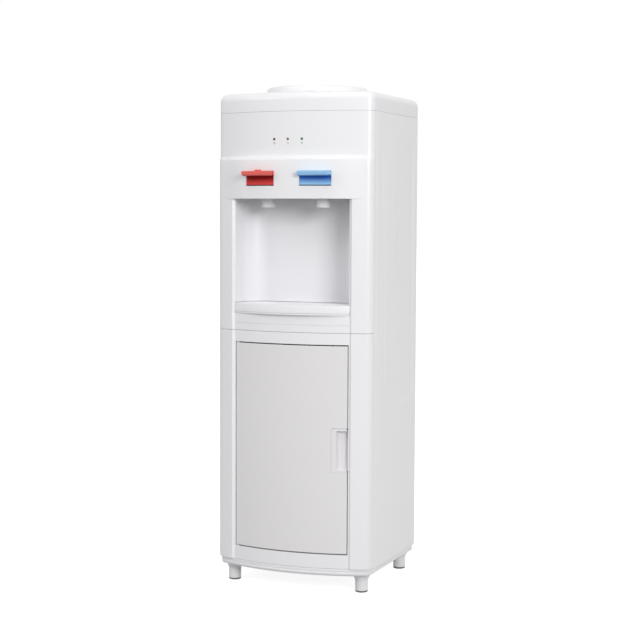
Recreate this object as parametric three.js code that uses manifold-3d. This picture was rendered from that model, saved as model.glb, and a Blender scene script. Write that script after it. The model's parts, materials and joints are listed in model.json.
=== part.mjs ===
// Floor-standing water dispenser: hot and cold taps over a drip tray, with a storage cabinet below.
// Millimetres, +Z up, front towards -Y, origin on the floor under the middle of the object.

import * as THREE from "three";
import { mergeVertices, toCreasedNormals } from "three/addons/utils/BufferGeometryUtils.js";
import Module from "manifold-3d";

const wasm = await Module();
wasm.setup();

// Clearances and stock thicknesses
const seat = 0.3;
const running = 0.35;
const overrun = 5;
const seamGap = 0.6;
const mouldedWall = 2.6;
const linerWall = 2.2;
const sheet = 1.2;
const weldTolerance = 1e-4;
const creaseAngle = 0.6;

// Housing plan: a convex front skin between two flat sides
const bodyWidth = 310;
const frontReach = 143.5;
const frontRadius = 379;
const cornerRadius = 16;
const leastRadius = 0.5;
const rearReach = 141;
const rearCornerRadius = 6;
const cornerTail = 3.8327;
const fasciaLead = 4;
const panelSetback = 3;
const pillarWidth = 35.5;
const channelDepth = 4;

// Heights, from the floor up
const padHeight = 2.7;
const footHeight = 33;
const baseHeight = 13.6;
const sillHeight = 25.7;
const doorwayHeight = 387.15;
const headHeight = 21.65;
const apronHeight = 31.8;
const bayHeight = 212.8;
const fasciaHeight = 78.5;
const panelHeight = 80;
const skirtHeight = 21;
const shoulderRadius = 15;
const crownRise = 3.5;
const crownShares = [[0, 0], [0.5, 0.7], [1, 1]];
const collarRise = 11;

// Base tray and feet
const baseInset = 3.5;
const baseFootInset = 8;
const panShares = [[1, 0], [0, 0.32], [0, 0.52], [0.31, 0.6], [0, 0.68], [0, 1]];
const baseFloor = 3;
const baseRim = 4;
const tongueHeight = 14;
const footRadius = 12;
const footFlare = 17;
const footFlareHeight = 9;
const footFlareShares = [[0, 0], [0.3, 0.5], [1, 0.85], [1, 1]];
const footInsetX = 25.3;
const footSetback = 54;
const footRearY = 120;
const studRadius = 4;
const studLength = 6;
const padRadius = 11.5;
const padPlugRadius = 5;
const padPlugLength = 3.5;
const padEdgeShare = 0.35;

// Side panels
const flangeWidth = 10;
const reliefTop = 838;
const reliefBottom = 338;
const reliefFront = 22;
const reliefRear = 118;
const reliefDepth = 1.4;
const reliefMargin = 3;
const reliefRound = 30;
const fluteWidth = 5;
const fluteDepth = 1;
const flutePlaces = [-62, -46];
const fluteRound = 1.5;

// Rear panel
const bayCutMargin = 43;
const bayCutBottom = 62;
const bayCutHeight = 170;
const ventRows = 4;
const ventPitch = 13;
const ventHeight = 5;
const ventWidth = 70;
const ventBottom = 826;
const ventSpread = 62;
const switchPlateWidth = 62;
const switchPlateHeight = 32;
const switchPlateThick = 3;
const switchCentreX = 0;
const switchCentreZ = 790;
const rockerWidth = 13;
const rockerHeight = 19;
const rockerDepth = 9;
const rockerSpread = 26;
const rockerTilt = 2;
const rockerSwing = Math.PI / 18;
const rockerPinRadius = 1.3;
const rockerPinLength = 2;
const rockerShares = [[-0.48, -0.22], [0, -0.46], [0.62, -0.47], [0.42, 0], [0.62, 0.47], [0, 0.46],
  [-0.48, 0.22]];
const switchBorder = 4;
const wellSpare = 0.9;
const drainZ = 262;
const drainRadius = 7;
const drainFlange = 12;
const drainFlangeThick = 3;
const drainBore = 4;
const drainInside = 6;
const drainReach = 12;
const drainCapRadius = 10;
const drainCapDepth = 9;
const drainCapEnd = 3;
const capEdgeShare = 0.7;
const capFaceShare = 0.88;
const glandX = 96;
const glandZ = 262;
const glandRadius = 7;
const glandFlange = 11;
const glandReach = 14;
const glandBore = 3.6;
const glandInside = 9;
const glandShares = [[1, 0], [1, 0.3], [0.64, 0.4], [0.5, 1]];

// Cabinet, door and door fittings
const doorwayStep = 1.7;
const jambDepth = 15;
const jambWall = 2.6;
const cabinetRear = 14;
const doorGap = 2;
const doorSkin = 3;
const doorThick = 12;
const doorRim = 7;
const pivotInset = 3.9;
const pivotFromEdge = 3.5;
const hingePinRadius = 2;
const hingePinReach = 7;
const hingeCollarRadius = 3.4;
const handleWidth = 28;
const handleFrame = 8.6;
const handleBottom = 225.4;
const handleHeight = 81;
const handleBorder = 3.8;
const handleDepth = 10.6;
const handleWall = 1.8;
const magnetWidth = 34;
const magnetHeight = 9;
const magnetDepth = 12;
const magnetX = 62;
const catchThick = 1.2;

// Dispensing bay, drip tray and grille
const bayDepth = 93.5;
const bayRound = 40;
const baySpare = 0.3;
const trayProud = 2.5;
const trayFloor = 2;
const trayWall = 3;
const trayLedge = 2.4;
const trayLip = 2.4;
const trayRise = 18.4;
const grilleThick = 2.6;
const grilleSlot = 5;
const grillePitch = 10;
const grilleBar = 6;
const grilleColumns = 3;
const grilleRows = 7;
const grilleBorder = 20;
const grilleInset = 15;
const apronGrooveRise = 13;
const apronGrooveHeight = 1.3;
const apronGrooveDepth = 1;
const apronGrooveInset = 2.5;

// Taps and levers
const tapX = 55;
const tapSetback = 40.5;
const nozzleRadius = 13.5;
const nozzleDrop = 16;
const nozzleBore = 7;
const nozzleEase = 1.1;
const outletBore = 5;
const outletDepth = 14.4;
const plugHeight = 6;
const tapFlangeRadius = 18;
const tapFlangeThick = 3;
const tapBodyRadius = 11;
const tapBodyHeight = 30;
const tapCapRadius = 7.5;
const tapCapHeight = 4;
const stubRadius = 4.5;
const stubBore = 2.6;
const stubReach = 24;
const stubRise = 23.2;
const leverHalf = 29.5;
const leverBottom = 750.8;
const leverHeight = 25.2;
const lipHeight = 9;
const lipReach = 12.5;
const lipRound = 2.4;
const leverWall = 3;
const windowMargin = 0.7;
const windowDip = 1.6;
const lipShares = [[0.5, 0], [0, 0.5]];
const pivotSetback = 13.5;
const pivotRise = 5;
const pivotBarrel = 3;
const pivotPinRadius = 2;
const pivotPinLength = 3.4;
const earThick = 3;
const earRadius = 5;
const armHalf = 6;
const armThick = 4;
const armOverhang = 5;
const forkSpare = 1;
const stemRadius = 2;
const knobRadius = 4.5;
const knobHeight = 3.4;
const knobGap = 1.6;
const lockRadius = 6.5;
const lockThick = 2.2;
const lockSetback = 3;
const lockFootHalf = 3.2;
const lockFootDepth = 4;
const lockFootLength = 4.6;
const lockTravel = 3;

// Indicator lamps and board
const lampSpacing = 27.3;
const lampRise = 29.8;
const lampRadius = 2.5;
const lampProud = 1;
const lampCollar = 3.4;
const lampShares = [[1, 0.2], [0.7, 0.8], [0, 1]];
const boardSetback = 16.5;
const boardWidth = 78;
const boardHeight = 18;
const boardThick = 1.6;
const postRadius = 3;
const postX = 34;

// Tanks, jacket, collar and water guard
const shelfRise = 9.4;
const shelfSetback = 59.5;
const shelfFlange = 12;
const pipeSpare = 0.9;
const jacketRadius = 80;
const jacketFloor = 8;
const jacketHeight = 130;
const coldRadius = 54;
const coldFlange = 66;
const tankWall = 1.5;
const coilRadius = 3;
const coilTurns = 3;
const coilPitch = 24;
const coilRise = 24;
const coilSteps = 12;
const coilStart = Math.PI / 6;
const coilBend = 8;
const coilSlack = 2.3;
const feedX = 0;
const feedY = 40;
const feedRadius = 5;
const feedDrop = 12;
const collarRadius = 95.5;
const collarRound = 5;
const collarSpigot = 87.2;
const collarSpigotDrop = 5;
const collarMouth = 85;
const collarWall = 2.5;
const collarSeat = 62;
const neckBore = 30.2;
const coneDepth = 42;
const neckDrop = 16;
const neckLip = 3.2;
const guardThick = 2.8;
const spikeRadius = 11;
const spikeWall = 2.5;
const spikeTip = 4;
const spikeRise = 12;
const spikePoint = 17;
const spikeWindow = 9;
const spikeWindowHeight = 15;
const guardHole = 4;
const guardHoles = 4;
const hotX = -70;
const hotY = 40;
const hotRadius = 48;
const hotHeight = 190;
const hotSkirt = 16;
const hotDome = 14;
const hotDomeShares = [[1, 0], [0.86, 0.55], [0.5, 0.9], [0, 1]];
const hotDrainY = 60;
const hotFeedRise = 20;
const hotFeedReach = 5;
const hotStubLength = 10;
const bandRise = 70;
const bandHeight = 42;
const bandThick = 3.4;
const bandGapHalf = 6;
const bandEar = 10;
const deckDrop = 23;
const deckFlange = 10;
const hoseRadius = 6;
const hoseBend = 15;
const hoseX = 108;

// Cooling system
const compressorX = 26;
const compressorY = 74;
const compressorRadius = 50;
const compressorStretch = 1.28;
const compressorHeight = 118;
const shellShares = [[0, 0], [0.8, 0], [0.96, 0.12], [0.96, 0.5], [1, 0.5], [1, 0.55], [0.96, 0.55],
  [0.94, 0.8], [0.7, 0.95], [0, 1]];
const waistShare = 0.525;
const compressorSides = 16;
const compressorLeg = 8;
const compressorLegThick = 2.5;
const compressorLegHalf = 62;
const compressorLegDepth = 30;
const legInset = 9;
const suctionX = 53;
const suctionY = 60;
const dischargeX = -2;
const dischargeY = 88;
const portRise = 8;
const portDepth = 20;
const postRadiusLow = 7;
const relayWidth = 34;
const relayDepth = 16;
const relayHeight = 36;
const condenserMargin = 43;
const condenserBottom = 306;
const condenserPitch = 80;
const condenserRuns = 6;
const condenserReach = 160;
const condenserBend = 20;
const condenserInside = 8;
const condenserTube = 2.6;
const wireCount = 5;
const wireHalf = 0.9;
const wireSink = 0.8;
const wireMargin = 12;
const lugX = 72;
const lugHalf = 5;
const lugHeight = 10;
const lugThick = 2;
const lugRuns = [1, 4];
const dryerRadius = 9.5;
const dryerLength = 92;
const dryerNeck = 3;
const dryerTaper = 8;
const dryerLoop = 24;
const dryerX = -34;
const dryerBottom = 92;
const lineRadius = 3;
const lineBend = 10;
const riserX = 96;
const returnX = 84;
const lineY = 112;
const suctionJog = 28;
const dischargeLoop = 29;

// Facets
const arcSteps = 5;
const frontSteps = 10;
const cornerSteps = 3;
const roundSides = 16;
const wideSides = 24;
const smallSides = 8;
const footSides = 10;
const tubeSides = 8;
const bendSteps = 2;
const wireSides = 6;
const coilSides = 5;
const coverSteps = 3;
const bayCornerSteps = 4;
const tapSides = 10;

// Levels that follow from the heights
const sideX = bodyWidth / 2;
const frontCentreY = frontRadius - frontReach;
const cornerReach = Math.sqrt((frontRadius - cornerRadius) ** 2 - (sideX - cornerRadius) ** 2);
const sideSeam = cornerReach - frontCentreY - cornerTail;
const channelHalf = sideX - pillarWidth;
const leverReach = frontReach + fasciaLead + lipReach;
const trayApex = frontReach + trayProud;
const tapY = tapSetback - frontReach;
const pivotY = pivotSetback - frontReach;
const boardY = boardSetback - frontReach;
const bayRear = frontReach - bayDepth;
const shelfFront = shelfSetback - frontReach;
const footFrontY = footSetback - frontReach;
const bayCutHalf = sideX - bayCutMargin;
const condenserHalf = sideX - condenserMargin;
const baseTop = footHeight + baseHeight;
const panelFoot = baseTop + seat;
const doorwayBottom = panelFoot + sillHeight;
const doorwayTop = doorwayBottom + doorwayHeight;
const housingSeam = doorwayTop + headHeight;
const bayBottom = housingSeam + apronHeight;
const bayTop = bayBottom + bayHeight;
const ledgeTop = bayTop + fasciaHeight;
const ledgeDrop = fasciaLead + panelSetback;
const coverSeam = ledgeTop + panelHeight;
const shoulderStart = coverSeam + skirtHeight;
const coverTop = shoulderStart + shoulderRadius;
const collarTop = coverTop + crownRise + collarRise;
const neckTop = collarTop - coneDepth;
const spikeShoulder = neckTop + spikeRise;
const spikeTop = spikeShoulder + spikePoint;
const openHalf = channelHalf - channelDepth;
const doorwayHalf = openHalf - doorwayStep;
const apronGrooveHalf = openHalf - apronGrooveInset;
const grilleHalf = openHalf - grilleInset;
const linerCeiling = bayTop + mouldedWall + seat;
const linerTop = linerCeiling + linerWall;
const linerFloor = bayBottom + seat;
const trayBottom = linerFloor + linerWall + seat;
const trayTop = bayBottom + seat + trayRise;
const shelfTop = linerTop + shelfRise;
const jacketBottom = shelfTop + seat;
const jacketTop = jacketBottom + jacketHeight;
const coldBottom = jacketBottom + jacketFloor + seat;
const coldTop = jacketTop + seat + tankWall;
const deckTop = linerFloor - deckDrop;
const hotBottom = deckTop + seat;
const leverTop = leverBottom + leverHeight;
const pivotZ = leverTop + pivotRise;
const inletZ = linerTop + seat + stubRise;
const tapFoot = linerTop + seat;
const nozzleBottom = bayTop - nozzleDrop;
const doorHalf = doorwayHalf - doorGap;
const doorBottom = doorwayBottom + doorGap;
const doorTop = doorwayTop - doorGap;
const hotTop = hotBottom + hotHeight;
const hotOutletTop = hotTop + hotStubLength;
const hotFeedZ = hotBottom + hotSkirt + hotFeedRise;
const hotFeedEnd = hotX + hotRadius + hotFeedReach;
const hotDrainEnd = deckTop - deckFlange;
const neckFoot = coldTop - neckDrop;
const feedFoot = shelfTop - feedDrop;
const coldOutletEnd = jacketRadius + overrun;
const compressorFoot = footHeight + baseFloor + compressorLeg + seat;
const compressorTop = compressorFoot + compressorLegThick + compressorHeight;
const portTop = compressorTop + portRise;
const condenserTop = condenserBottom + condenserPitch * (condenserRuns - 1);

// Places that follow from the plan
const rearPanelFace = rearReach - sheet - seat;
const rearPanelInside = rearPanelFace - sheet;
const deckHalf = sideX - sheet - reliefDepth - seat;
const tapPlaces = [-tapX, tapX];
const lampPlaces = [-lampSpacing, 0, lampSpacing];
const lockRear = lockSetback + lockRadius - leverReach;
const condenserY = condenserReach - wireHalf * 2 + wireSink - condenserTube;
const rockerY = rearPanelFace + seat + switchPlateThick - rockerTilt - rockerDepth / 2;
const switchBoxHalf = switchPlateWidth / 2 - switchBorder;
const switchBoxRise = switchPlateHeight / 2 - switchBorder;
const coilReach = coldRadius + coilSlack + coilRadius;
const coilStartZ = coldBottom + coilRise;
const coilEnd = shelfTop - feedDrop;
const coilFoot = {
  x: coilReach * Math.cos(coilStart) + coilBend * Math.sin(coilStart),
  y: coilReach * Math.sin(coilStart) - coilBend * Math.cos(coilStart),
};
const hinge = { x: pivotFromEdge - doorHalf,
  y: frontDepth(pivotFromEdge - doorHalf, channelDepth) + pivotInset };
const jambRear = frontDepth(doorwayHalf, channelDepth + mouldedWall / 2) + jambDepth;
const legX = compressorLegHalf - legInset;
const legY = compressorLegDepth - legInset;
const legPlaces = [[-1, -1], [1, -1], [1, 1],
  [-1, 1]].map(([i, j]) => [compressorX + i * legX, compressorY + j * legY]);

// Places a point in a plan or in a profile.
function at(x, y) {
  return new THREE.Vector2(x, y);
}

// Points of an arc, both ends included.
function arc(cx, cy, radius, from, to, steps) {
  return Array.from({ length: steps + 1 }, (_, i) => {
    const angle = from + ((to - from) * i) / steps;
    return at(cx + radius * Math.cos(angle), cy + radius * Math.sin(angle));
  });
}

// The part of an arc about (0, centreY) that faces -Y, between two places across the width.
function frontArc(centreY, radius, fromX, toX, steps) {
  const turn = (x) => Math.asin(x / radius) - Math.PI / 2;
  return arc(0, centreY, radius, turn(fromX), turn(toX), steps);
}

// Turns a closed surface into a solid that can be joined and cut.
function solid(geometry) {
  const bare = geometry.index ? geometry.toNonIndexed() : geometry.clone();
  bare.deleteAttribute("normal");
  bare.deleteAttribute("uv");
  const merged = mergeVertices(bare, weldTolerance);
  const corners = merged.index.array;
  const triangles = [];
  for (let i = 0; i < corners.length; i += 3) {
    const [a, b, c] = corners.slice(i, i + 3);
    if (a !== b && b !== c && c !== a) triangles.push(a, b, c);
  }
  const vertProperties = new Float32Array(merged.attributes.position.array);
  return new wasm.Manifold(
    new wasm.Mesh({ numProp: 3, vertProperties, triVerts: new Uint32Array(triangles) }));
}

function join(...solids) {
  return solids.reduce((whole, next) => whole.add(next));
}

function cut(whole, ...tools) {
  return tools.reduce((rest, tool) => rest.subtract(tool), whole);
}

// A solid through a stack of plan outlines with equally many points, each anticlockwise at its own height.
function loft(rings) {
  const count = rings[0].points.length;
  const last = (rings.length - 1) * count;
  const positions = rings.flatMap(({ points, z }) => points.flatMap((p) => [p.x, p.y, z]));
  const index = [];
  for (let level = 0; level < last; level += count) {
    for (let i = 0; i < count; i += 1) {
      const next = (i + 1) % count;
      index.push(level + i, level + next, level + count + next);
      index.push(level + i, level + count + next, level + count + i);
    }
  }
  for (const [points, offset, up] of [[rings[0].points, 0, false], [rings.at(-1).points, last, true]]) {
    for (const [a, b, c] of THREE.ShapeUtils.triangulateShape(points, [])) {
      const leftTurn = THREE.ShapeUtils.area([points[a], points[b], points[c]]) > 0;
      const [second, third] = leftTurn === up ? [b, c] : [c, b];
      index.push(offset + a, offset + second, offset + third);
    }
  }
  const geometry = new THREE.BufferGeometry();
  geometry.setAttribute("position", new THREE.Float32BufferAttribute(positions, 3));
  geometry.setIndex(index);
  return solid(geometry);
}

function prism(points, bottom, top) {
  return loft([{ points, z: bottom }, { points, z: top }]);
}

function slab(x0, x1, y0, y1, z0, z1) {
  const box = new THREE.BoxGeometry(x1 - x0, y1 - y0, z1 - z0);
  return solid(box.translate((x0 + x1) / 2, (y0 + y1) / 2, (z0 + z1) / 2));
}

// A profile of radius and height, anticlockwise, turned about the vertical through (x, y).
function turned(profile, { x = 0, y = 0, sides = roundSides, stretch = 1 } = {}) {
  const points = profile.map(([radius, height]) => at(radius, height));
  const spun = new THREE.LatheGeometry(points, sides).rotateX(Math.PI / 2);
  return solid(spun.scale(stretch, 1, 1).translate(x, y, 0));
}

// A profile of radius and distance forward, turned about a line along -Y through (x, z).
function turnedForward(profile, x, z, sides = smallSides) {
  const points = profile.map(([radius, distance]) => at(radius, distance));
  const spun = new THREE.LatheGeometry(points, sides).rotateX(Math.PI / 2).rotateX(Math.PI / 2);
  return solid(spun.translate(x, 0, z));
}

// A profile of radius and distance back, turned about a line along +Y through (x, z).
function turnedBack(profile, x, z, sides = smallSides) {
  const points = profile.map(([radius, distance]) => at(radius, distance));
  return solid(new THREE.LatheGeometry(points, sides).translate(x, 0, z));
}

// A profile in the plane across the width, given as (y, z), carried from x0 to x1.
function across(profile, x0, x1) {
  const shape = new THREE.Shape(profile.map(([y, z]) => at(y, z)));
  const bar = new THREE.ExtrudeGeometry(shape, { depth: x1 - x0, bevelEnabled: false });
  const turn = new THREE.Matrix4().set(0, 0, 1, x0, 1, 0, 0, 0, 0, 1, 0, 0, 0, 0, 0, 1);
  return solid(bar.applyMatrix4(turn));
}

// A round bar between two points.
function rod(from, to, radius, sides = tubeSides) {
  const start = new THREE.Vector3(...from);
  const along = new THREE.Vector3(...to).sub(start);
  const bar = new THREE.CylinderGeometry(radius, radius, along.length(), sides);
  const turn = new THREE.Quaternion().setFromUnitVectors(new THREE.Vector3(0, 1, 0),
    along.clone().normalize());
  const middle = start.addScaledVector(along, 1 / 2);
  return solid(bar.applyQuaternion(turn).translate(middle.x, middle.y, middle.z));
}

// A centre line of straight runs joined by round bends, with stations only where the bends need them.
class BentPath extends THREE.Curve {
  constructor(corners, bendRadius, steps) {
    super();
    this.stations = [];
    this.directions = [];
    const places = corners.map((corner) => new THREE.Vector3(...corner));
    const heading = (i) => places[i + 1].clone().sub(places[i]).normalize();
    this.add(places[0], heading(0));
    for (let i = 1; i < places.length - 1; i += 1) {
      const before = heading(i - 1);
      const turn = before.angleTo(heading(i));
      const axis = before.clone().cross(heading(i)).normalize();
      const inward = axis.clone().cross(before);
      const start = places[i].clone().addScaledVector(before, -bendRadius * Math.tan(turn / 2));
      for (let step = 0; step <= steps; step += 1) {
        const angle = (turn * step) / steps;
        const place = start.clone().addScaledVector(before, bendRadius * Math.sin(angle));
        place.addScaledVector(inward, bendRadius * (1 - Math.cos(angle)));
        this.add(place, before.clone().applyAxisAngle(axis, angle));
      }
    }
    this.add(places.at(-1), heading(places.length - 2));
  }
  add(place, direction) {
    this.stations.push(place.clone());
    this.directions.push(direction.clone());
  }
  index(t) {
    return Math.round(t * (this.stations.length - 1));
  }
  getPointAt(t, target = new THREE.Vector3()) {
    return target.copy(this.stations[this.index(t)]);
  }
  getTangentAt(t, target = new THREE.Vector3()) {
    return target.copy(this.directions[this.index(t)]);
  }
}

// A round bar of solid section along a path of stations.
function pipeAlong(path, radius, sides) {
  const section = new THREE.Shape(arc(0, 0, radius, 0, Math.PI * 2, sides).slice(0, sides));
  return solid(new THREE.ExtrudeGeometry(section, { extrudePath: path, steps: path.stations.length - 1 }));
}

function pipe(corners, bendRadius, radius, sides = tubeSides) {
  return pipeAlong(new BentPath(corners, bendRadius, bendSteps), radius, sides);
}

// The front of the housing in plan, from the left side plane to the right one.
// lead moves it ahead of the skin, inset moves it into the wall, and the channel is the shallow
// recess with bevelled edges between the two pillars.
function frontCurve({ lead = 0, inset = 0, channelled = false } = {}) {
  const radius = frontRadius + lead - inset;
  const round = Math.max(cornerRadius - inset, leastRadius);
  const flank = sideX - inset - round;
  const cornerY = frontCentreY - Math.sqrt((radius - round) ** 2 - flank ** 2);
  const turn = Math.atan2(cornerY - frontCentreY, flank);
  const corner = arc(flank, cornerY, round, turn, 0, cornerSteps);
  const lip = channelHalf + inset * Math.tan(Math.PI / 8);
  const floor = frontArc(frontCentreY, radius - channelDepth, 0, lip - channelDepth, arcSteps);
  const pillar = frontArc(frontCentreY, radius, lip, corner[0].x, cornerSteps);
  const plain = frontArc(frontCentreY, radius, 0, corner[0].x, arcSteps);
  const right = [...(channelled ? [...floor, ...pillar] : plain), ...corner.slice(1)];
  const left = right.slice(1).reverse().map((p) => at(-p.x, p.y));
  return [...left, ...right];
}

// The plan of a front moulding: its front curve closed by a straight line at the side seam.
function frontPlan(options = {}, back = 0) {
  const reach = sideX - (options.inset ?? 0);
  return [...frontCurve(options), at(reach, back - sideSeam), at(-reach, back - sideSeam)];
}

// The whole plan of the housing, with small rounds at the rear corners.
function wholePlan(options = {}) {
  const inset = options.inset ?? 0;
  const round = Math.max(rearCornerRadius - inset, leastRadius);
  const x = sideX - inset - round;
  const y = rearReach - inset - round;
  const rearRight = arc(x, y, round, 0, Math.PI / 2, cornerSteps);
  const rearLeft = arc(-x, y, round, Math.PI / 2, Math.PI, cornerSteps);
  return [...frontCurve(options), ...rearRight, ...rearLeft];
}

// A curved plate that follows the front of the housing between two depths, places and heights.
function frontBand(lead, inset, fromX, toX, bottom, top, steps = frontSteps) {
  const outer = frontArc(frontCentreY, frontRadius + lead, fromX, toX, steps);
  const inner = frontArc(frontCentreY, frontRadius - inset, fromX, toX, steps);
  return prism([...outer, ...inner.reverse()], bottom, top);
}

// Where the front of the housing lies along Y at a place across the width.
function frontDepth(x, inset = 0) {
  return frontCentreY - Math.sqrt((frontRadius - inset) ** 2 - x ** 2);
}

const whitePlastic = { color: 0xededee, roughness: 0.28, metalness: 0 };
const innerPlastic = { color: 0xe6e6e9, roughness: 0.4, metalness: 0 };
const greyPlastic = { color: 0xd8d6d7, roughness: 0.22, metalness: 0 };
const whiteSheet = { color: 0xdedede, roughness: 0.35, metalness: 0.1 };
const zincSheet = { color: 0xb9bcc0, roughness: 0.45, metalness: 0.8 };
const blackTube = { color: 0x1c1d1f, roughness: 0.5, metalness: 0.4 };
const blackShell = { color: 0x202224, roughness: 0.38, metalness: 0.3 };
const steelShell = { color: 0xc6c8ca, roughness: 0.3, metalness: 1 };
const copperTube = { color: 0xb87348, roughness: 0.35, metalness: 1 };
const foam = { color: 0xe9dfc4, roughness: 0.9, metalness: 0 };
const redPlastic = { color: 0xa82a22, roughness: 0.25, metalness: 0 };
const bluePlastic = { color: 0x4a82c4, roughness: 0.25, metalness: 0 };
const hoseRubber = { color: 0xdfe2e4, roughness: 0.6, metalness: 0 };
const padRubber = { color: 0x3b3b3d, roughness: 0.85, metalness: 0 };
const redLens = { color: 0xd0342a, roughness: 0.2, metalness: 0 };
const yellowLens = { color: 0xe0c02a, roughness: 0.2, metalness: 0 };
const greenLens = { color: 0x3fae4a, roughness: 0.2, metalness: 0 };
const boardGreen = { color: 0x2f6b3c, roughness: 0.5, metalness: 0 };

// A named mesh made from a solid, at a place of its own.
function piece(name, body, look, [x, y, z] = [0, 0, 0]) {
  const { vertProperties, triVerts } = body.getMesh();
  const surface = new THREE.BufferGeometry();
  surface.setAttribute("position", new THREE.BufferAttribute(vertProperties, 3));
  surface.setIndex(new THREE.BufferAttribute(triVerts, 1));
  const mesh = new THREE.Mesh(toCreasedNormals(surface, creaseAngle), new THREE.MeshStandardMaterial(look));
  mesh.name = name;
  mesh.position.set(x, y, z);
  return mesh;
}

function group(...meshes) {
  return new THREE.Group().add(...meshes);
}

const footX = sideX - footInsetX;
const footPlaces = {
  front_left: [-footX, footFrontY],
  front_right: [footX, footFrontY],
  rear_left: [-footX, footRearY],
  rear_right: [footX, footRearY],
};

// Base tray: a shallow moulded pan with a beaded rim, posts for the compressor and a tongue that the
// front moulding slips over.
function baseTray() {
  const spread = baseFootInset - baseInset;
  const pan = loft(panShares.map(([insetShare, heightShare]) => ({
    points: wholePlan({ inset: baseInset + spread * insetShare }),
    z: footHeight + baseHeight * heightShare,
  })));
  const floorTop = footHeight + baseFloor;
  const tongueTop = baseTop + tongueHeight;
  const tongueInset = mouldedWall + running;
  const tonguePlan = (inset, back) => frontPlan({ channelled: true, inset: tongueInset + inset }, back);
  const tongue = cut(
    prism(tonguePlan(0, -seat), floorTop, tongueTop),
    prism(tonguePlan(mouldedWall, overrun), floorTop - overrun, tongueTop + overrun),
  ).intersect(join(prism(wholePlan({ inset: baseInset }), footHeight, baseTop),
    prism(frontPlan(), baseTop, tongueTop)));
  const hollow = prism(wholePlan({ inset: baseInset + baseRim }), floorTop, baseTop + overrun);
  const posts = legPlaces.map(([x, y]) => rod([x, y, footHeight + baseFloor / 2],
    [x, y, floorTop + compressorLeg], postRadiusLow, wireSides));
  const studHoles = Object.values(footPlaces).map(([x, y]) =>
    rod([x, y, footHeight - overrun], [x, y, baseTop + overrun], studRadius + running, tubeSides));
  return cut(join(cut(pan, hollow), tongue, ...posts), ...studHoles);
}

function foot() {
  const foundation = padHeight + seat;
  const socketTop = foundation + padPlugLength + running;
  const headTop = footHeight - seat;
  const flare = footFlareShares.map(([radiusShare, heightShare]) =>
    [footRadius + (footFlare - footRadius) * radiusShare, headTop - footFlareHeight * (1 - heightShare)]);
  return turned([
    [0, socketTop],
    [padPlugRadius + running, socketTop],
    [padPlugRadius + running, foundation],
    [footRadius, foundation],
    ...flare,
    [studRadius, headTop],
    [studRadius, headTop + studLength],
    [0, headTop + studLength],
  ], { sides: footSides });
}

function footPad() {
  const edge = padHeight * padEdgeShare;
  return turned([
    [0, 0],
    [padRadius - edge, 0],
    [padRadius, edge],
    [padRadius, padHeight],
    [padPlugRadius, padHeight],
    [padPlugRadius, padHeight + seat + padPlugLength],
    [0, padHeight + seat + padPlugLength],
  ], { sides: smallSides });
}

// Lower front moulding: two pillars, sill and head round the doorway, with a jamb turned inwards.
function lowerFrontPanel() {
  const top = housingSeam - seamGap / 2;
  const outer = prism(frontPlan({ channelled: true }), panelFoot, top);
  const inner = prism(frontPlan({ channelled: true, inset: mouldedWall }, overrun), panelFoot - overrun,
    top + overrun);
  const doorway = slab(-doorwayHalf, doorwayHalf, -frontReach - overrun, 0, doorwayBottom, doorwayTop);
  const frame = cut(
    slab(-doorwayHalf - jambWall, doorwayHalf + jambWall, -frontReach, jambRear,
      doorwayBottom - jambWall, doorwayTop + jambWall),
    doorway,
  ).intersect(prism(frontPlan({ channelled: true, inset: mouldedWall / 2 }), panelFoot, top));
  const bossHalf = hingeCollarRadius + jambWall;
  const bossDepth = hingePinReach + jambWall;
  const boss = (bottom) => slab(hinge.x - bossHalf, hinge.x + bossHalf, hinge.y - pivotInset / 2, jambRear,
    bottom, bottom + bossDepth);
  const pinHole = rod([hinge.x, hinge.y, doorwayBottom - hingePinReach - running],
    [hinge.x, hinge.y, doorwayTop + hingePinReach + running], hingePinRadius + running);
  const shell = join(cut(outer, inner), frame, boss(doorwayTop), boss(doorwayBottom - bossDepth));
  return cut(shell, doorway, pinHole);
}

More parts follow.
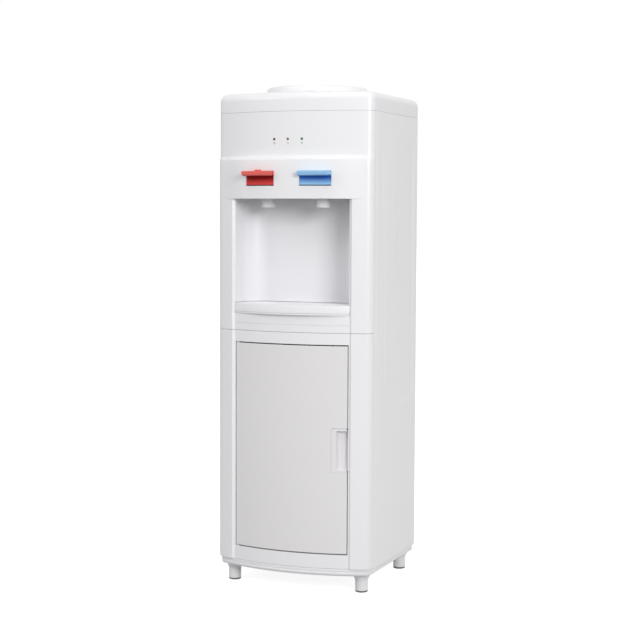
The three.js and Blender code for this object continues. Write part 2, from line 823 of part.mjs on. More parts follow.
// Upper front moulding: pillars and apron round the dispensing bay, the proud fascia with its two lever
// windows, the bevelled ledge and the control panel above it.
function upperFrontPanel() {
  const bottom = housingSeam + seamGap / 2;
  const ring = (lead, inset, z, back) => ({ points: frontPlan({ lead, inset }, back), z });
  const fascia = loft([
    ring(fasciaLead, 0, bayTop),
    ring(fasciaLead, 0, ledgeTop - ledgeDrop),
    ring(-panelSetback, 0, ledgeTop),
    ring(-panelSetback, 0, coverSeam),
  ]);
  const drop = mouldedWall * Math.tan(Math.PI / 8);
  const fasciaHollow = loft([
    ring(fasciaLead, mouldedWall, bayTop + mouldedWall, overrun),
    ring(fasciaLead, mouldedWall, ledgeTop - ledgeDrop - drop, overrun),
    ring(-panelSetback, mouldedWall, ledgeTop - drop, overrun),
    ring(-panelSetback, mouldedWall, coverSeam + overrun, overrun),
  ]);
  const pillars = prism(frontPlan({ channelled: true }), bottom, bayTop + mouldedWall / 2);
  const pillarHollow = prism(frontPlan({ channelled: true, inset: mouldedWall }, overrun),
    bottom - overrun, bayTop + mouldedWall);
  const bay = slab(-openHalf, openHalf, -frontReach - overrun, 0, bayBottom, bayTop);
  const grooveBottom = housingSeam + apronGrooveRise;
  const groove = frontBand(0, channelDepth + apronGrooveDepth, -apronGrooveHalf, apronGrooveHalf,
    grooveBottom, grooveBottom + apronGrooveHeight);
  const windows = tapPlaces.map((x) => slab(x - leverHalf - running, x + leverHalf + running,
    -leverReach, -sideSeam, leverBottom - windowDip, leverTop + windowMargin));
  const earX = leverHalf + running;
  const ears = tapPlaces.flatMap((x) => [x - earX - earThick, x + earX].map((left) =>
    slab(left, left + earThick, -leverReach, pivotY + earRadius, pivotZ - earRadius,
      pivotZ + earRadius).intersect(fascia)));
  const pinReach = earX + earThick + overrun;
  const pinHoles = tapPlaces.map((x) => rod([x - pinReach, pivotY, pivotZ], [x + pinReach, pivotY, pivotZ],
    pivotPinRadius + running));
  const lampZ = ledgeTop + lampRise;
  const lampHoles = lampPlaces.map((x) => rod([x, -leverReach, lampZ], [x, boardY, lampZ],
    lampRadius + running));
  const posts = [-postX,
    postX].map((x) => rod([x, -frontReach, lampZ], [x, boardY - seat, lampZ], postRadius,
    tubeSides).intersect(fascia));
  const shell = join(cut(fascia, fasciaHollow, pillarHollow), cut(pillars, pillarHollow), ...ears, ...posts);
  return cut(shell, bay, groove, ...windows, ...pinHoles, ...lampHoles);
}

// Top cover: a skirted lid with a rounded shoulder and a low crown round the collar hole.
function topCover() {
  const shell = (wall, foot, footInset) => {
    const round = shoulderRadius - wall;
    const ring = (inset, z) => ({ points: wholePlan({ lead: -panelSetback, inset }), z });
    const shoulder = arc(wall + round, shoulderStart, round, Math.PI, Math.PI / 2, coverSteps);
    return loft([ring(wall + footInset, foot), ring(wall, coverSeam + seat + seamGap),
      ...shoulder.map((p) => ring(p.x, p.y))]);
  };
  const crownFoot = frontReach - panelSetback - shoulderRadius - overrun;
  const crownHead = collarRadius + seat;
  const slope = crownShares.map(([radiusShare, heightShare]) =>
    [crownFoot + (crownHead - crownFoot) * radiusShare, coverTop + crownRise * heightShare]);
  const crown = turned([
    [0, coverTop - mouldedWall / 2],
    [crownFoot, coverTop - mouldedWall / 2],
    ...slope,
    [0, coverTop + crownRise],
  ], { sides: wideSides });
  const hole = rod([0, 0, shoulderStart], [0, 0, collarTop + overrun], collarSpigot + running, wideSides);
  return cut(join(cut(shell(0, coverSeam + seat, seamGap), shell(mouldedWall, coverSeam - overrun, 0)),
    crown), hole);
}

// Side panel: pressed sheet with a flange at the front, round the rear corner and at both ends.
function sidePanel() {
  const top = coverSeam;
  const front = -sideSeam + seamGap;
  const plan = (inset, edge) => {
    const round = rearCornerRadius - inset;
    const corner = arc(sideX - rearCornerRadius, rearReach - rearCornerRadius, round, 0, Math.PI / 2,
      cornerSteps);
    return [at(edge, front + inset), at(sideX - inset, front + inset), ...corner,
      at(edge, rearReach - inset)];
  };
  const edge = sideX - flangeWidth;
  const shell = cut(prism(plan(0, edge), panelFoot, top),
    prism(plan(sheet, edge - overrun), panelFoot + sheet, top - sheet));
  const pressed = (y0, y1, z0, z1, round, steps) => [
    ...arc(y0 + round, z0 + round, round, Math.PI, Math.PI * 3 / 2, steps),
    ...arc(y1 - round, z0 + round, round, Math.PI * 3 / 2, Math.PI * 2, steps),
    at(y1, z1),
    at(y0, z1),
  ].map((p) => [p.x, p.y]);
  const pressing = (y0, y1, round, depth, steps) => ({
    back: across(pressed(y0 - reliefMargin, y1 + reliefMargin, reliefBottom - reliefMargin,
      reliefTop + reliefMargin, round, steps),
      sideX - sheet - depth, sideX - sheet / 2),
    face: across(pressed(y0, y1, reliefBottom, reliefTop, round, steps), sideX - depth, sideX + overrun),
  });
  const pressings = [
    pressing(reliefFront, reliefRear, reliefRound, reliefDepth, cornerSteps),
    ...flutePlaces.map((y) => pressing(y - fluteWidth / 2, y + fluteWidth / 2, fluteRound, fluteDepth, 1)),
  ];
  return cut(join(shell, ...pressings.map((p) => p.back)), ...pressings.map((p) => p.face));
}

// Rear panel: plain sheet with the compressor opening, vents and holes for what passes through it.
function rearPanel() {
  const half = sideX - rearCornerRadius - seat;
  const bottom = panelFoot + sheet + seat;
  const top = coverSeam - sheet - seat;
  const through = (x0, x1, z0, z1) => slab(x0, x1, rearPanelInside - overrun, rearPanelFace + overrun, z0,
    z1);
  const hole = (x, z, radius) => rod([x, rearPanelInside - overrun, z], [x, rearPanelFace + overrun, z],
    radius, tapSides);
  const vents = [-ventSpread, ventSpread].flatMap((x) => Array.from({ length: ventRows }, (_, row) => {
    const z = ventBottom + row * ventPitch;
    return through(x - ventWidth / 2, x + ventWidth / 2, z, z + ventHeight);
  }));
  const wide = switchBoxHalf + seat;
  const high = switchBoxRise + seat;
  return cut(slab(-half, half, rearPanelInside, rearPanelFace, bottom, top),
    through(-bayCutHalf, bayCutHalf, bayCutBottom, bayCutBottom + bayCutHeight),
    through(switchCentreX - wide, switchCentreX + wide, switchCentreZ - high, switchCentreZ + high),
    hole(hotX, drainZ, drainRadius + running),
    hole(glandX, glandZ, glandRadius + running),
    hole(riserX, condenserTop, lineRadius + running),
    hole(-returnX, condenserBottom, lineRadius + running),
    ...vents);
}

// Door: a curved skin with a deep rim, drilled at top and bottom for the hinge pins, and cut for its handle.
function door() {
  const ease = doorSkin / 2;
  const outerArc = frontArc(frontCentreY, frontRadius - channelDepth, ease - doorHalf, doorHalf - ease,
    frontSteps);
  const innerArc = frontArc(frontCentreY, frontRadius - channelDepth - doorThick, -doorHalf, doorHalf,
    frontSteps);
  const edgeY = outerArc[0].y + ease;
  const leaf = prism([at(-doorHalf, edgeY), ...outerArc, at(doorHalf, edgeY), ...innerArc.reverse()],
    doorBottom, doorTop);
  const hollow = frontBand(-channelDepth - doorSkin, channelDepth + doorThick + overrun,
    doorRim - doorHalf, doorHalf - doorRim, doorBottom + doorRim, doorTop - doorRim);
  const handleCut = slab(doorHalf - handleWidth, doorHalf + overrun, -leverReach, 0, handleBottom,
    handleBottom + handleHeight);
  const depth = hingePinReach + running;
  const pinHole = (from, to) => rod([hinge.x, hinge.y, from], [hinge.x, hinge.y, to],
    hingePinRadius + running);
  return cut(leaf, hollow, handleCut, pinHole(doorBottom - overrun, doorBottom + depth),
    pinHole(doorTop - depth, doorTop + overrun));
}

// Handle insert: a cup open towards the door's free edge, held by a flange behind the skin.
function doorHandle() {
  const left = doorHalf - handleWidth;
  const bottom = handleBottom + seat;
  const top = handleBottom + handleHeight - seat;
  const backInset = channelDepth + handleDepth;
  const cup = frontBand(-channelDepth, backInset + handleWall, left + seat, doorHalf, bottom, top,
    cornerSteps);
  const behind = channelDepth + doorSkin + seat;
  const flange = frontBand(-behind, behind + handleWall, left - doorSkin, doorHalf - doorRim - seat,
    bottom - doorSkin, top + doorSkin, cornerSteps);
  const pocket = frontBand(overrun, backInset, left + handleFrame, doorHalf + overrun,
    bottom + handleBorder, top - handleBorder, cornerSteps);
  return cut(join(cup, flange), pocket);
}

// Hinge pin with a collar that spaces the door's end from the frame.
function hingePin(gapBottom) {
  const low = gapBottom + seat;
  const high = gapBottom + doorGap - seat;
  return turned([
    [0, low - hingePinReach],
    [hingePinRadius, low - hingePinReach],
    [hingePinRadius, low],
    [hingeCollarRadius, low],
    [hingeCollarRadius, high],
    [hingePinRadius, high],
    [hingePinRadius, high + hingePinReach],
    [0, high + hingePinReach],
  ], { x: hinge.x, y: hinge.y, sides: tubeSides });
}

function cabinetLiner() {
  const half = doorwayHalf + jambWall;
  const front = jambRear + seat;
  const low = doorwayBottom - jambWall;
  const high = doorwayTop + jambWall;
  return cut(
    slab(-half, half, front, cabinetRear, low, high),
    slab(linerWall - half, half - linerWall, front - overrun, cabinetRear - linerWall, low + linerWall,
      high - linerWall),
  );
}

// Magnet block under the head of the doorway, and the plate on the door that it holds.
const catchInset = channelDepth + doorThick + seat;
const magnetLeft = magnetX - magnetWidth / 2;
const magnetRight = magnetX + magnetWidth / 2;

function doorMagnet() {
  const front = frontDepth(magnetRight, catchInset + catchThick) + seat;
  const top = doorwayTop - seat;
  return slab(magnetLeft, magnetRight, front, front + magnetDepth, top - magnetHeight, top);
}

function catchPlate() {
  const top = doorTop - seat;
  return frontBand(-catchInset, catchInset + catchThick, magnetLeft, magnetRight, top - magnetHeight, top,
    cornerSteps);
}

// Plan of the bay liner: its front edge follows the back of the front moulding, its rear corners are
// wide rounds.
function bayPlan(wall, forward = 0) {
  const half = openHalf + baySpare + linerWall - wall;
  const round = bayRound + linerWall - wall;
  const rear = linerWall - bayRear - wall;
  const edge = channelDepth + mouldedWall + seat;
  return [...frontArc(frontCentreY, frontRadius - edge, -half, half,
    frontSteps).map((p) => at(p.x, p.y - forward)),
    ...arc(half - round, rear - round, round, 0, Math.PI / 2, bayCornerSteps),
    ...arc(round - half, rear - round, round, Math.PI / 2, Math.PI, bayCornerSteps)];
}

function recessLiner() {
  const nozzleHoles = tapPlaces.map((x) => rod([x, tapY, bayTop], [x, tapY, linerTop + overrun],
    nozzleRadius + running, tapSides));
  return cut(prism(bayPlan(0), linerFloor, linerTop),
    prism(bayPlan(linerWall, overrun), linerFloor + linerWall, linerCeiling), ...nozzleHoles);
}

// Plan of the drip tray: a bowed front that stands proud of the apron, rear corners that follow the bay.
const trayHalf = openHalf - running;
const trayBow = trayApex + frontDepth(trayHalf, channelDepth);
const trayRadius = (trayHalf ** 2 + trayBow ** 2) / (trayBow + trayBow);
const trayCentreY = trayRadius - trayApex;

function trayPlan(inset) {
  const round = bayRound - running - inset;
  const rear = -bayRear - running - inset;
  const side = trayHalf - inset;
  return [...frontArc(trayCentreY, trayRadius - inset, -side, side, frontSteps),
    ...arc(side - round, rear - round, round, 0, Math.PI / 2, bayCornerSteps),
    ...arc(round - side, rear - round, round, Math.PI / 2, Math.PI, bayCornerSteps)];
}

function dripTray() {
  const floorTop = trayBottom + trayFloor;
  const ledge = trayTop - grilleThick - seat;
  const frontOnly = slab(-openHalf, openHalf, -leverReach, frontDepth(openHalf, channelDepth) + running,
    linerFloor, floorTop);
  const lip = cut(prism(trayPlan(0), linerFloor, floorTop),
    prism(trayPlan(trayLip), linerFloor - overrun, floorTop + overrun));
  return cut(join(prism(trayPlan(0), trayBottom, trayTop), lip.intersect(frontOnly)),
    prism(trayPlan(trayWall + trayLedge), floorTop, trayTop),
    prism(trayPlan(trayWall), ledge, trayTop + overrun));
}

// Drip grille: a plate that drops into the tray, with rows of slots as wide as its front edge lets them be.
function dripGrille() {
  const plate = prism(trayPlan(trayWall + running), trayTop - grilleThick, trayTop);
  const column = (grilleHalf + grilleHalf - grilleBar * (grilleColumns - 1)) / grilleColumns;
  const slots = [];
  for (let row = 0; row < grilleRows; row += 1) {
    const rear = -bayRear - grilleBorder - row * grillePitch;
    const front = rear - grilleSlot;
    const reach = Math.sqrt((trayRadius - trayWall) ** 2 - (trayCentreY - front) ** 2) - grilleBar;
    for (let i = 0; i < grilleColumns; i += 1) {
      const start = i * (column + grilleBar) - grilleHalf;
      const left = Math.max(start, -reach);
      const right = Math.min(start + column, reach);
      if (right - left > grilleBar) slots.push(slab(left, right, front, rear,
        trayTop - grilleThick - overrun, trayTop + overrun));
    }
  }
  return cut(plate, ...slots);
}

// Tap body: nozzle and valve chamber below, stem bore above, inlet stub towards the side of the housing.
function tapBody(side) {
  const x = side * tapX;
  const seatZ = nozzleBottom + outletDepth;
  const chamberTop = inletZ + stubRadius;
  const flangeTop = tapFoot + tapFlangeThick;
  const bodyTop = tapFoot + tapBodyHeight;
  const capTop = bodyTop + tapCapHeight;
  const stemBore = stemRadius + running;
  const body = turned([
    [outletBore, nozzleBottom],
    [nozzleRadius - nozzleEase, nozzleBottom],
    [nozzleRadius, nozzleBottom + nozzleEase],
    [nozzleRadius, tapFoot],
    [tapFlangeRadius, tapFoot],
    [tapFlangeRadius, flangeTop],
    [tapBodyRadius, flangeTop],
    [tapBodyRadius, bodyTop],
    [tapCapRadius, bodyTop],
    [tapCapRadius, capTop],
    [stemBore, capTop],
    [stemBore, chamberTop],
    [nozzleBore, chamberTop],
    [nozzleBore, seatZ],
    [outletBore, seatZ],
    [outletBore, nozzleBottom],
  ], { x, y: tapY, sides: tapSides });
  const wallStart = x + side * (nozzleBore + tapBodyRadius) / 2;
  const end = x + side * stubReach;
  const stub = rod([wallStart, tapY, inletZ], [end, tapY, inletZ], stubRadius, tubeSides);
  const bore = rod([x, tapY, inletZ], [end + side * overrun, tapY, inletZ], stubBore, tubeSides);
  return cut(join(body, stub), bore);
}

// Valve stem: a plug on the outlet seat, and a knob above the lever's fork that lifts it.
function valveStem(side) {
  const plugFoot = nozzleBottom + outletDepth + seat;
  const plugTop = plugFoot + plugHeight;
  const knobFoot = pivotZ + armThick / 2 + knobGap;
  return turned([
    [0, plugFoot],
    [nozzleBore - running, plugFoot],
    [nozzleBore - running, plugTop],
    [stemRadius, plugTop],
    [stemRadius, knobFoot],
    [knobRadius, knobFoot],
    [knobRadius, knobFoot + knobHeight],
    [0, knobFoot + knobHeight],
  ], { x: side * tapX, y: tapY, sides: tubeSides });
}

// Press lever: a face flush with the fascia under a jutting lip, a pivot barrel with two pins behind the
// fascia, and an arm that ends in a fork round the valve stem.
function tapLever(side) {
  const x = side * tapX;
  const left = x - leverHalf;
  const right = x + leverHalf;
  const lipBottom = leverTop - lipHeight;
  const backY = pivotY + pivotBarrel;
  const neckY = pivotY - pivotBarrel;
  const edge = lipShares.map(([backShare, dropShare]) => [lipRound * backShare - leverReach,
    leverTop - lipRound * dropShare]);
  const lip = across([
    [-leverReach, lipBottom + lipRound],
    [lipRound - leverReach, lipBottom],
    [neckY - lipHeight, lipBottom],
    [neckY, lipBottom + leverWall],
    [backY, leverTop - leverWall],
    [backY, pivotZ],
    [neckY, pivotZ],
    [neckY, leverTop],
    ...edge,
  ], left, right);
  const face = frontBand(fasciaLead - seat, seat + leverWall - fasciaLead, left, right, leverBottom,
    lipBottom + leverWall, cornerSteps);
  const barrel = rod([left, pivotY, pivotZ], [right, pivotY, pivotZ], pivotBarrel);
  const pins = rod([left - pivotPinLength, pivotY, pivotZ], [right + pivotPinLength, pivotY, pivotZ],
    pivotPinRadius);
  const armEnd = tapY + armOverhang;
  const arm = slab(x - armHalf, x + armHalf, pivotY, armEnd, pivotZ - armThick / 2, pivotZ + armThick / 2);
  const slotHalf = stemRadius + running;
  const fork = slab(x - slotHalf, x + slotHalf, tapY - slotHalf - forkSpare, armEnd + overrun,
    pivotZ - armThick, pivotZ + armThick);
  const lever = cut(join(lip, face, barrel, pins, arm), fork);
  return side < 0 ? cut(lever, lockSlot(x)) : lever;
}

function lockSlot(x) {
  const half = lockFootHalf + running;
  return slab(x - half, x + half, lockRear - lockFootLength - running, lockRear + lockTravel + running,
    leverTop - lockFootDepth - running, leverTop + overrun);
}

// Child lock: a half-round tab on the hot lever's lip with a foot in a slot.
function childLock() {
  const tabFoot = leverTop + seat;
  const tab = prism(arc(-tapX, lockRear, lockRadius, Math.PI, Math.PI * 2, arcSteps), tabFoot,
    tabFoot + lockThick);
  const stem = slab(-tapX - lockFootHalf, lockFootHalf - tapX, lockRear - lockFootLength, lockRear,
    leverTop - lockFootDepth, tabFoot + lockThick / 2);
  return join(tab, stem);
}

// Indicator lamp: a domed lens through the control panel, with a collar behind it.
function lamp(x) {
  const face = -frontDepth(x, panelSetback);
  const collarEnd = face - mouldedWall - seat - running;
  const dome = lampShares.map(([radiusShare, proudShare]) => [lampRadius * radiusShare,
    face + lampProud * proudShare]);
  return turnedForward([
    [0, seat - boardY],
    [lampCollar, seat - boardY],
    [lampCollar, collarEnd],
    [lampRadius, collarEnd],
    ...dome,
  ], x, ledgeTop + lampRise);
}

function indicatorBoard() {
  const z = ledgeTop + lampRise;
  return slab(-boardWidth / 2, boardWidth / 2, boardY, boardY + boardThick, z - boardHeight / 2,
    z + boardHeight / 2);
}

// Sheet-metal deck between the side panels, with its side edges turned down and round holes for pipes.
function deck(top, front, flange, holes) {
  const rear = rearPanelInside - seat;
  const under = slab(sheet - deckHalf, deckHalf - sheet, front - overrun, rear + overrun,
    top - flange - overrun, top - sheet);
  return cut(slab(-deckHalf, deckHalf, front, rear, top - flange, top), under,
    ...holes.map(([x, y, radius]) =>
    rod([x, y, top - overrun], [x, y, top + overrun], radius + pipeSpare)));
}

function middleDeck() {
  return deck(deckTop, seamGap + sheet + seat - sideSeam, deckFlange,
    [[hotX, hotDrainY, stubRadius], [suctionX, suctionY, lineRadius], [riserX, lineY, lineRadius]]);
}

function tankShelf() {
  return deck(shelfTop, shelfFront, shelfFlange,
    [[-hoseX, hotY, hoseRadius], [feedX, feedY, feedRadius], [coilFoot.x, coilFoot.y, coilRadius]]);
}

// Cold tank: an open stainless pot with a flange, an outlet at its side and a feed to the hot tank below.
function coldTank() {
  const inner = coldRadius - tankWall;
  const pot = turned([
    [0, coldBottom],
    [coldRadius, coldBottom],
    [coldRadius, coldTop - tankWall],
    [coldFlange, coldTop - tankWall],
    [coldFlange, coldTop],
    [inner, coldTop],
    [inner, coldBottom + tankWall],
    [0, coldBottom + tankWall],
  ]);
  const outlet = rod([inner + tankWall / 2, 0, inletZ], [coldOutletEnd, 0, inletZ], stubRadius);
  const feed = rod([feedX, feedY, coldBottom + tankWall / 2], [feedX, feedY, feedFoot], feedRadius);
  return cut(join(pot, outlet, feed),
    rod([inner - overrun, 0, inletZ], [coldOutletEnd + overrun, 0, inletZ], stubBore, tubeSides),
    rod([feedX, feedY, coldBottom + overrun], [feedX, feedY, feedFoot - overrun], stubBore, tubeSides));
}

// Insulating jacket round the cold tank, with passages for the outlet, the feed and the evaporator's line.
function coldTankJacket() {
  const cavity = coilReach + coilRadius + coilSlack;
  const floorTop = jacketBottom + jacketFloor;
  const passage = (x, y, radius) => rod([x, y, jacketBottom - overrun], [x, y, floorTop + overrun],
    radius + running);
  return cut(turned([
    [0, jacketBottom],
    [jacketRadius, jacketBottom],
    [jacketRadius, jacketTop],
    [cavity, jacketTop],
    [cavity, floorTop],
    [0, floorTop],
  ]), rod([0, 0, inletZ], [jacketRadius + overrun, 0, inletZ], stubRadius + running),
  passage(feedX, feedY, feedRadius), passage(coilFoot.x, coilFoot.y, coilRadius));
}

// The evaporator's line: up through the jacket's floor, then a helix that climbs round the cold tank.
function evaporatorCoil() {
  const path = new BentPath([[coilFoot.x, coilFoot.y, coilEnd],
    [coilFoot.x, coilFoot.y, coilStartZ - coilBend]], coilBend, bendSteps);
  const upright = new THREE.Vector3(0, 0, 1);
  const tangent = new THREE.Vector3(-Math.sin(coilStart), Math.cos(coilStart), 0);
  const foot = path.stations.at(-1).clone();
  for (let step = 1; step <= bendSteps; step += 1) {
    const angle = (Math.PI / 2) * (step / bendSteps);
    const place = foot.clone().addScaledVector(upright, coilBend * Math.sin(angle));
    place.addScaledVector(tangent, coilBend * (1 - Math.cos(angle)));
    path.add(place,
      upright.clone().multiplyScalar(Math.cos(angle)).addScaledVector(tangent, Math.sin(angle)));
  }
  for (let step = 1; step <= coilTurns * coilSteps; step += 1) {
    const angle = coilStart + (step / coilSteps) * Math.PI * 2;
    const rise = (step / coilSteps) * coilPitch;
    const place = new THREE.Vector3(coilReach * Math.cos(angle), coilReach * Math.sin(angle),
      coilStartZ + rise);
    path.add(place,
      new THREE.Vector3(-Math.sin(angle), Math.cos(angle),
      coilPitch / (Math.PI * 2 * coilReach)).normalize());
  }
  return pipeAlong(path, coilRadius, coilSides);
}

// Bottle collar: a rounded rim on the top cover, a cone for the bottle's shoulder and a neck into the
// cold tank.
function bottleCollar() {
  const rimFoot = coverTop + crownRise + seat;
  const neckOuter = neckBore + collarWall;
  const seatZ = coldTop + seat;
  const coneSlope = (collarTop - neckTop) / (collarMouth - neckBore);
  const coneDrop = collarWall * Math.hypot(1, coneSlope);
  const spigotInside = collarSpigot - collarWall;
  const underCone = (radius) => neckTop + (radius - neckBore) * coneSlope - coneDrop;
  const rim = arc(collarRadius - collarRound, collarTop - collarRound, collarRound, 0, Math.PI / 2,
    cornerSteps);
  return turned([
    [neckBore - neckLip, neckFoot],
    [neckOuter, neckFoot],
    [neckOuter, seatZ],
    [collarSeat, seatZ],
    [collarSeat, seatZ + collarWall],
    [neckOuter, seatZ + collarWall],
    [neckOuter, underCone(neckOuter)],
    [spigotInside, underCone(spigotInside)],
    [spigotInside, rimFoot - collarSpigotDrop],
    [collarSpigot, rimFoot - collarSpigotDrop],
    [collarSpigot, rimFoot],
    [collarRadius, rimFoot],
    ...rim.map((p) => [p.x, p.y]),
    [collarMouth, collarTop],
    [neckBore, neckTop],
    [neckBore, neckFoot + collarWall],
    [neckBore - neckLip, neckFoot + collarWall],
    [neckBore - neckLip, neckFoot],
  ], { sides: wideSides });
}

// Water guard: a pierced disc in the collar's neck with a hollow feed spike that opens the bottle.
function waterGuard() {
  const low = neckFoot + collarWall + seat;
  const bore = spikeRadius - spikeWall;
  const disc = neckBore - running;
  const spike = turned([
    [bore, low],
    [disc, low],
    [disc, low + guardThick],
    [spikeRadius, low + guardThick],
    [spikeRadius, spikeShoulder],
    [spikeTip, spikeTop],
    [0, spikeTop],
    [0, spikeTop - spikeWall],
    [bore, spikeShoulder - spikeWall],
    [bore, low],
  ], { sides: tapSides });
  const half = spikeWindow / 2;
  const far = spikeRadius + overrun;
  const windowTop = spikeShoulder - spikeWall;
  const windowFoot = windowTop - spikeWindowHeight;
  const windows = [slab(-half, half, -far, far, windowFoot, windowTop),
    slab(-far, far, -half, half, windowFoot, windowTop)];
  const ring = (spikeRadius + neckBore) / 2;
  const holes = Array.from({ length: guardHoles }, (_, i) => {
    const place = [ring * Math.cos(i * (Math.PI * 2 / guardHoles)),
      ring * Math.sin(i * (Math.PI * 2 / guardHoles))];
    return rod([...place, low - overrun], [...place, low + overrun], guardHole, tubeSides);
  });
  return cut(spike, ...windows, ...holes);
}

// Hot tank: a domed stainless can on a skirt, with outlet, feed and drain stubs.
function hotTank() {
  const canFoot = hotBottom + hotSkirt;
  const can = (wall) => turned([
    [0, canFoot + wall],
    [hotRadius - wall, canFoot + wall],
    ...hotDomeShares.map(([radiusShare, riseShare]) =>
      [(hotRadius - wall) * radiusShare, hotTop - hotDome + (hotDome - wall) * riseShare]),
  ], { x: hotX, y: hotY });
  const skirtInside = hotRadius - tankWall * 2;
  const skirt = turned([
    [skirtInside, hotBottom],
    [hotRadius, hotBottom],
    [hotRadius, canFoot + tankWall],
    [skirtInside, canFoot + tankWall],
    [skirtInside, hotBottom],
  ], { x: hotX, y: hotY });
  const inside = hotTop - hotDome;
  const drainTop = canFoot + tankWall / 2;
  const outer = join(can(0), skirt,
    rod([-hoseX, hotY, inside], [-hoseX, hotY, hotOutletTop], stubRadius),
    rod([hotX + skirtInside, hotY, hotFeedZ], [hotFeedEnd, hotY, hotFeedZ], stubRadius),
    rod([hotX, hotDrainY, drainTop], [hotX, hotDrainY, hotDrainEnd], stubRadius));
  return cut(outer, can(tankWall),
    rod([-hoseX, hotY, inside - overrun], [-hoseX, hotY, hotOutletTop + overrun], stubBore, tubeSides),
    rod([hotX, hotY, hotFeedZ], [hotFeedEnd + overrun, hotY, hotFeedZ], stubBore, tubeSides),
    rod([hotX, hotDrainY, drainTop + overrun], [hotX, hotDrainY, hotDrainEnd - overrun], stubBore,
      tubeSides));
}

// Clamp-on heater: a split ring with two ears at its opening.
function heaterBand() {
  const low = hotBottom + bandRise;
  const high = low + bandHeight;
  const inner = hotRadius + seat;
  const outer = inner + bandThick;
  const ring = turned([[inner, low], [outer, low], [outer, high], [inner, high], [inner, low]],
    { x: hotX, y: hotY });
  const slot = slab(hotX - bandGapHalf, hotX + bandGapHalf, hotY - outer - overrun, hotY, low - overrun,
    high + overrun);
  const ear = (left) => slab(left, left + bandThick, hotY - outer - bandEar, hotY - inner - seat,
    low + bandHeight / 4, high - bandHeight / 4);
  return join(cut(ring, slot), ear(hotX - bandGapHalf - bandThick), ear(hotX + bandGapHalf));
}

function hose(corners) {
  return pipe(corners, hoseBend, hoseRadius);
}

// Hoses end a hair short of the stubs that they serve.
function coldHose() {
  return hose([[tapX + stubReach + seat, tapY, inletZ], [hoseX, tapY, inletZ], [hoseX, 0, inletZ],
    [coldOutletEnd + seat, 0, inletZ]]);
}

function hotHose() {
  return hose([[-tapX - stubReach - seat, tapY, inletZ], [-hoseX, tapY, inletZ], [-hoseX, hotY, inletZ],
    [-hoseX, hotY, hotOutletTop + seat]]);
}

function feedHose() {
  return hose([[feedX, feedY, feedFoot - seat], [feedX, feedY, hotFeedZ],
    [hotFeedEnd + seat, hotY, hotFeedZ]]);
}

function drainHose() {
  return hose([[hotX, hotDrainY, hotDrainEnd - seat], [hotX, hotDrainY, drainZ],
    [hotX, rearPanelInside - drainInside - seat, drainZ]]);
}

function drainFitting() {
  const low = rearPanelInside - drainInside;
  const face = rearPanelFace + seat;
  const end = rearPanelFace + drainReach;
  return turnedBack([
    [drainBore, low],
    [drainRadius, low],
    [drainRadius, face],
    [drainFlange, face],
    [drainFlange, face + drainFlangeThick],
    [drainRadius, face + drainFlangeThick],
    [drainRadius, end],
    [drainBore, end],
    [drainBore, low],
  ], hotX, drainZ, roundSides);
}

function drainCap() {
  const end = rearPanelFace + drainReach + seat;
  const mouth = end + drainCapEnd - drainCapDepth;
  const bore = drainRadius + running;
  return turnedBack([
    [bore, mouth],
    [drainCapRadius, mouth],
    [drainCapRadius, end + drainCapEnd * capEdgeShare],
    [drainCapRadius * capFaceShare, end + drainCapEnd],
    [0, end + drainCapEnd],
    [0, end],
    [bore, end],
    [bore, mouth],
  ], hotX, drainZ, roundSides);
}

// Cord gland: a flanged bush through the rear panel.
function cordGland() {
  const low = rearPanelInside - glandInside;
  const face = rearPanelFace + seat;
  return turnedBack([
    [glandBore, low],
    [glandRadius, low],
    [glandRadius, face],
    ...glandShares.map(([radiusShare, reachShare]) => [glandFlange * radiusShare,
      face + glandReach * reachShare]),
    [glandBore, face + glandReach],
    [glandBore, low],
  ], glandX, glandZ);
}

// Switch housing: a flanged box through the rear panel with two wells, and the rockers that tip in them.
function switchHousing() {
  const face = rearPanelFace + seat;
  const halfWidth = switchPlateWidth / 2;
  const halfHeight = switchPlateHeight / 2;
  const plate = slab(switchCentreX - halfWidth, switchCentreX + halfWidth, face, face + switchPlateThick,
    switchCentreZ - halfHeight, switchCentreZ + halfHeight);
  const box = slab(switchCentreX - switchBoxHalf, switchCentreX + switchBoxHalf,
    rearPanelInside - rockerDepth,
    face + switchPlateThick / 2, switchCentreZ - switchBoxRise, switchCentreZ + switchBoxRise);
  const wells = [-rockerSpread, rockerSpread].flatMap((spread) => {
    const x = switchCentreX + spread / 2;
    const half = rockerWidth / 2 + running;
    const pin = half + rockerPinLength;
    const rise = rockerHeight / 2 + wellSpare;
    return [
      slab(x - half, x + half, rockerY - rockerDepth / 2 - wellSpare, face + switchPlateThick + overrun,
        switchCentreZ - rise, switchCentreZ + rise),
      rod([x - pin, rockerY, switchCentreZ], [x + pin, rockerY, switchCentreZ], rockerPinRadius + running,
        tubeSides),
    ];
  });
  return cut(join(plate, box), ...wells);
}

// Rocker: two faces that meet in a shallow valley, tipped about its pin by half of its swing.
function rocker(side) {
  const x = switchCentreX + side * rockerSpread / 2;
  const tip = rockerSwing / 2;
  const profile = rockerShares.map(([depthShare, heightShare]) => {
    const y = depthShare * rockerDepth;
    const z = heightShare * rockerHeight;
    return [rockerY + y * Math.cos(tip) + z * Math.sin(tip),
      switchCentreZ + z * Math.cos(tip) - y * Math.sin(tip)];
  });
  const body = across(profile, x - rockerWidth / 2, x + rockerWidth / 2);
  const pin = rockerWidth / 2 + rockerPinLength;
  return join(body,
    rod([x - pin, rockerY, switchCentreZ], [x + pin, rockerY, switchCentreZ], rockerPinRadius, tubeSides));
}

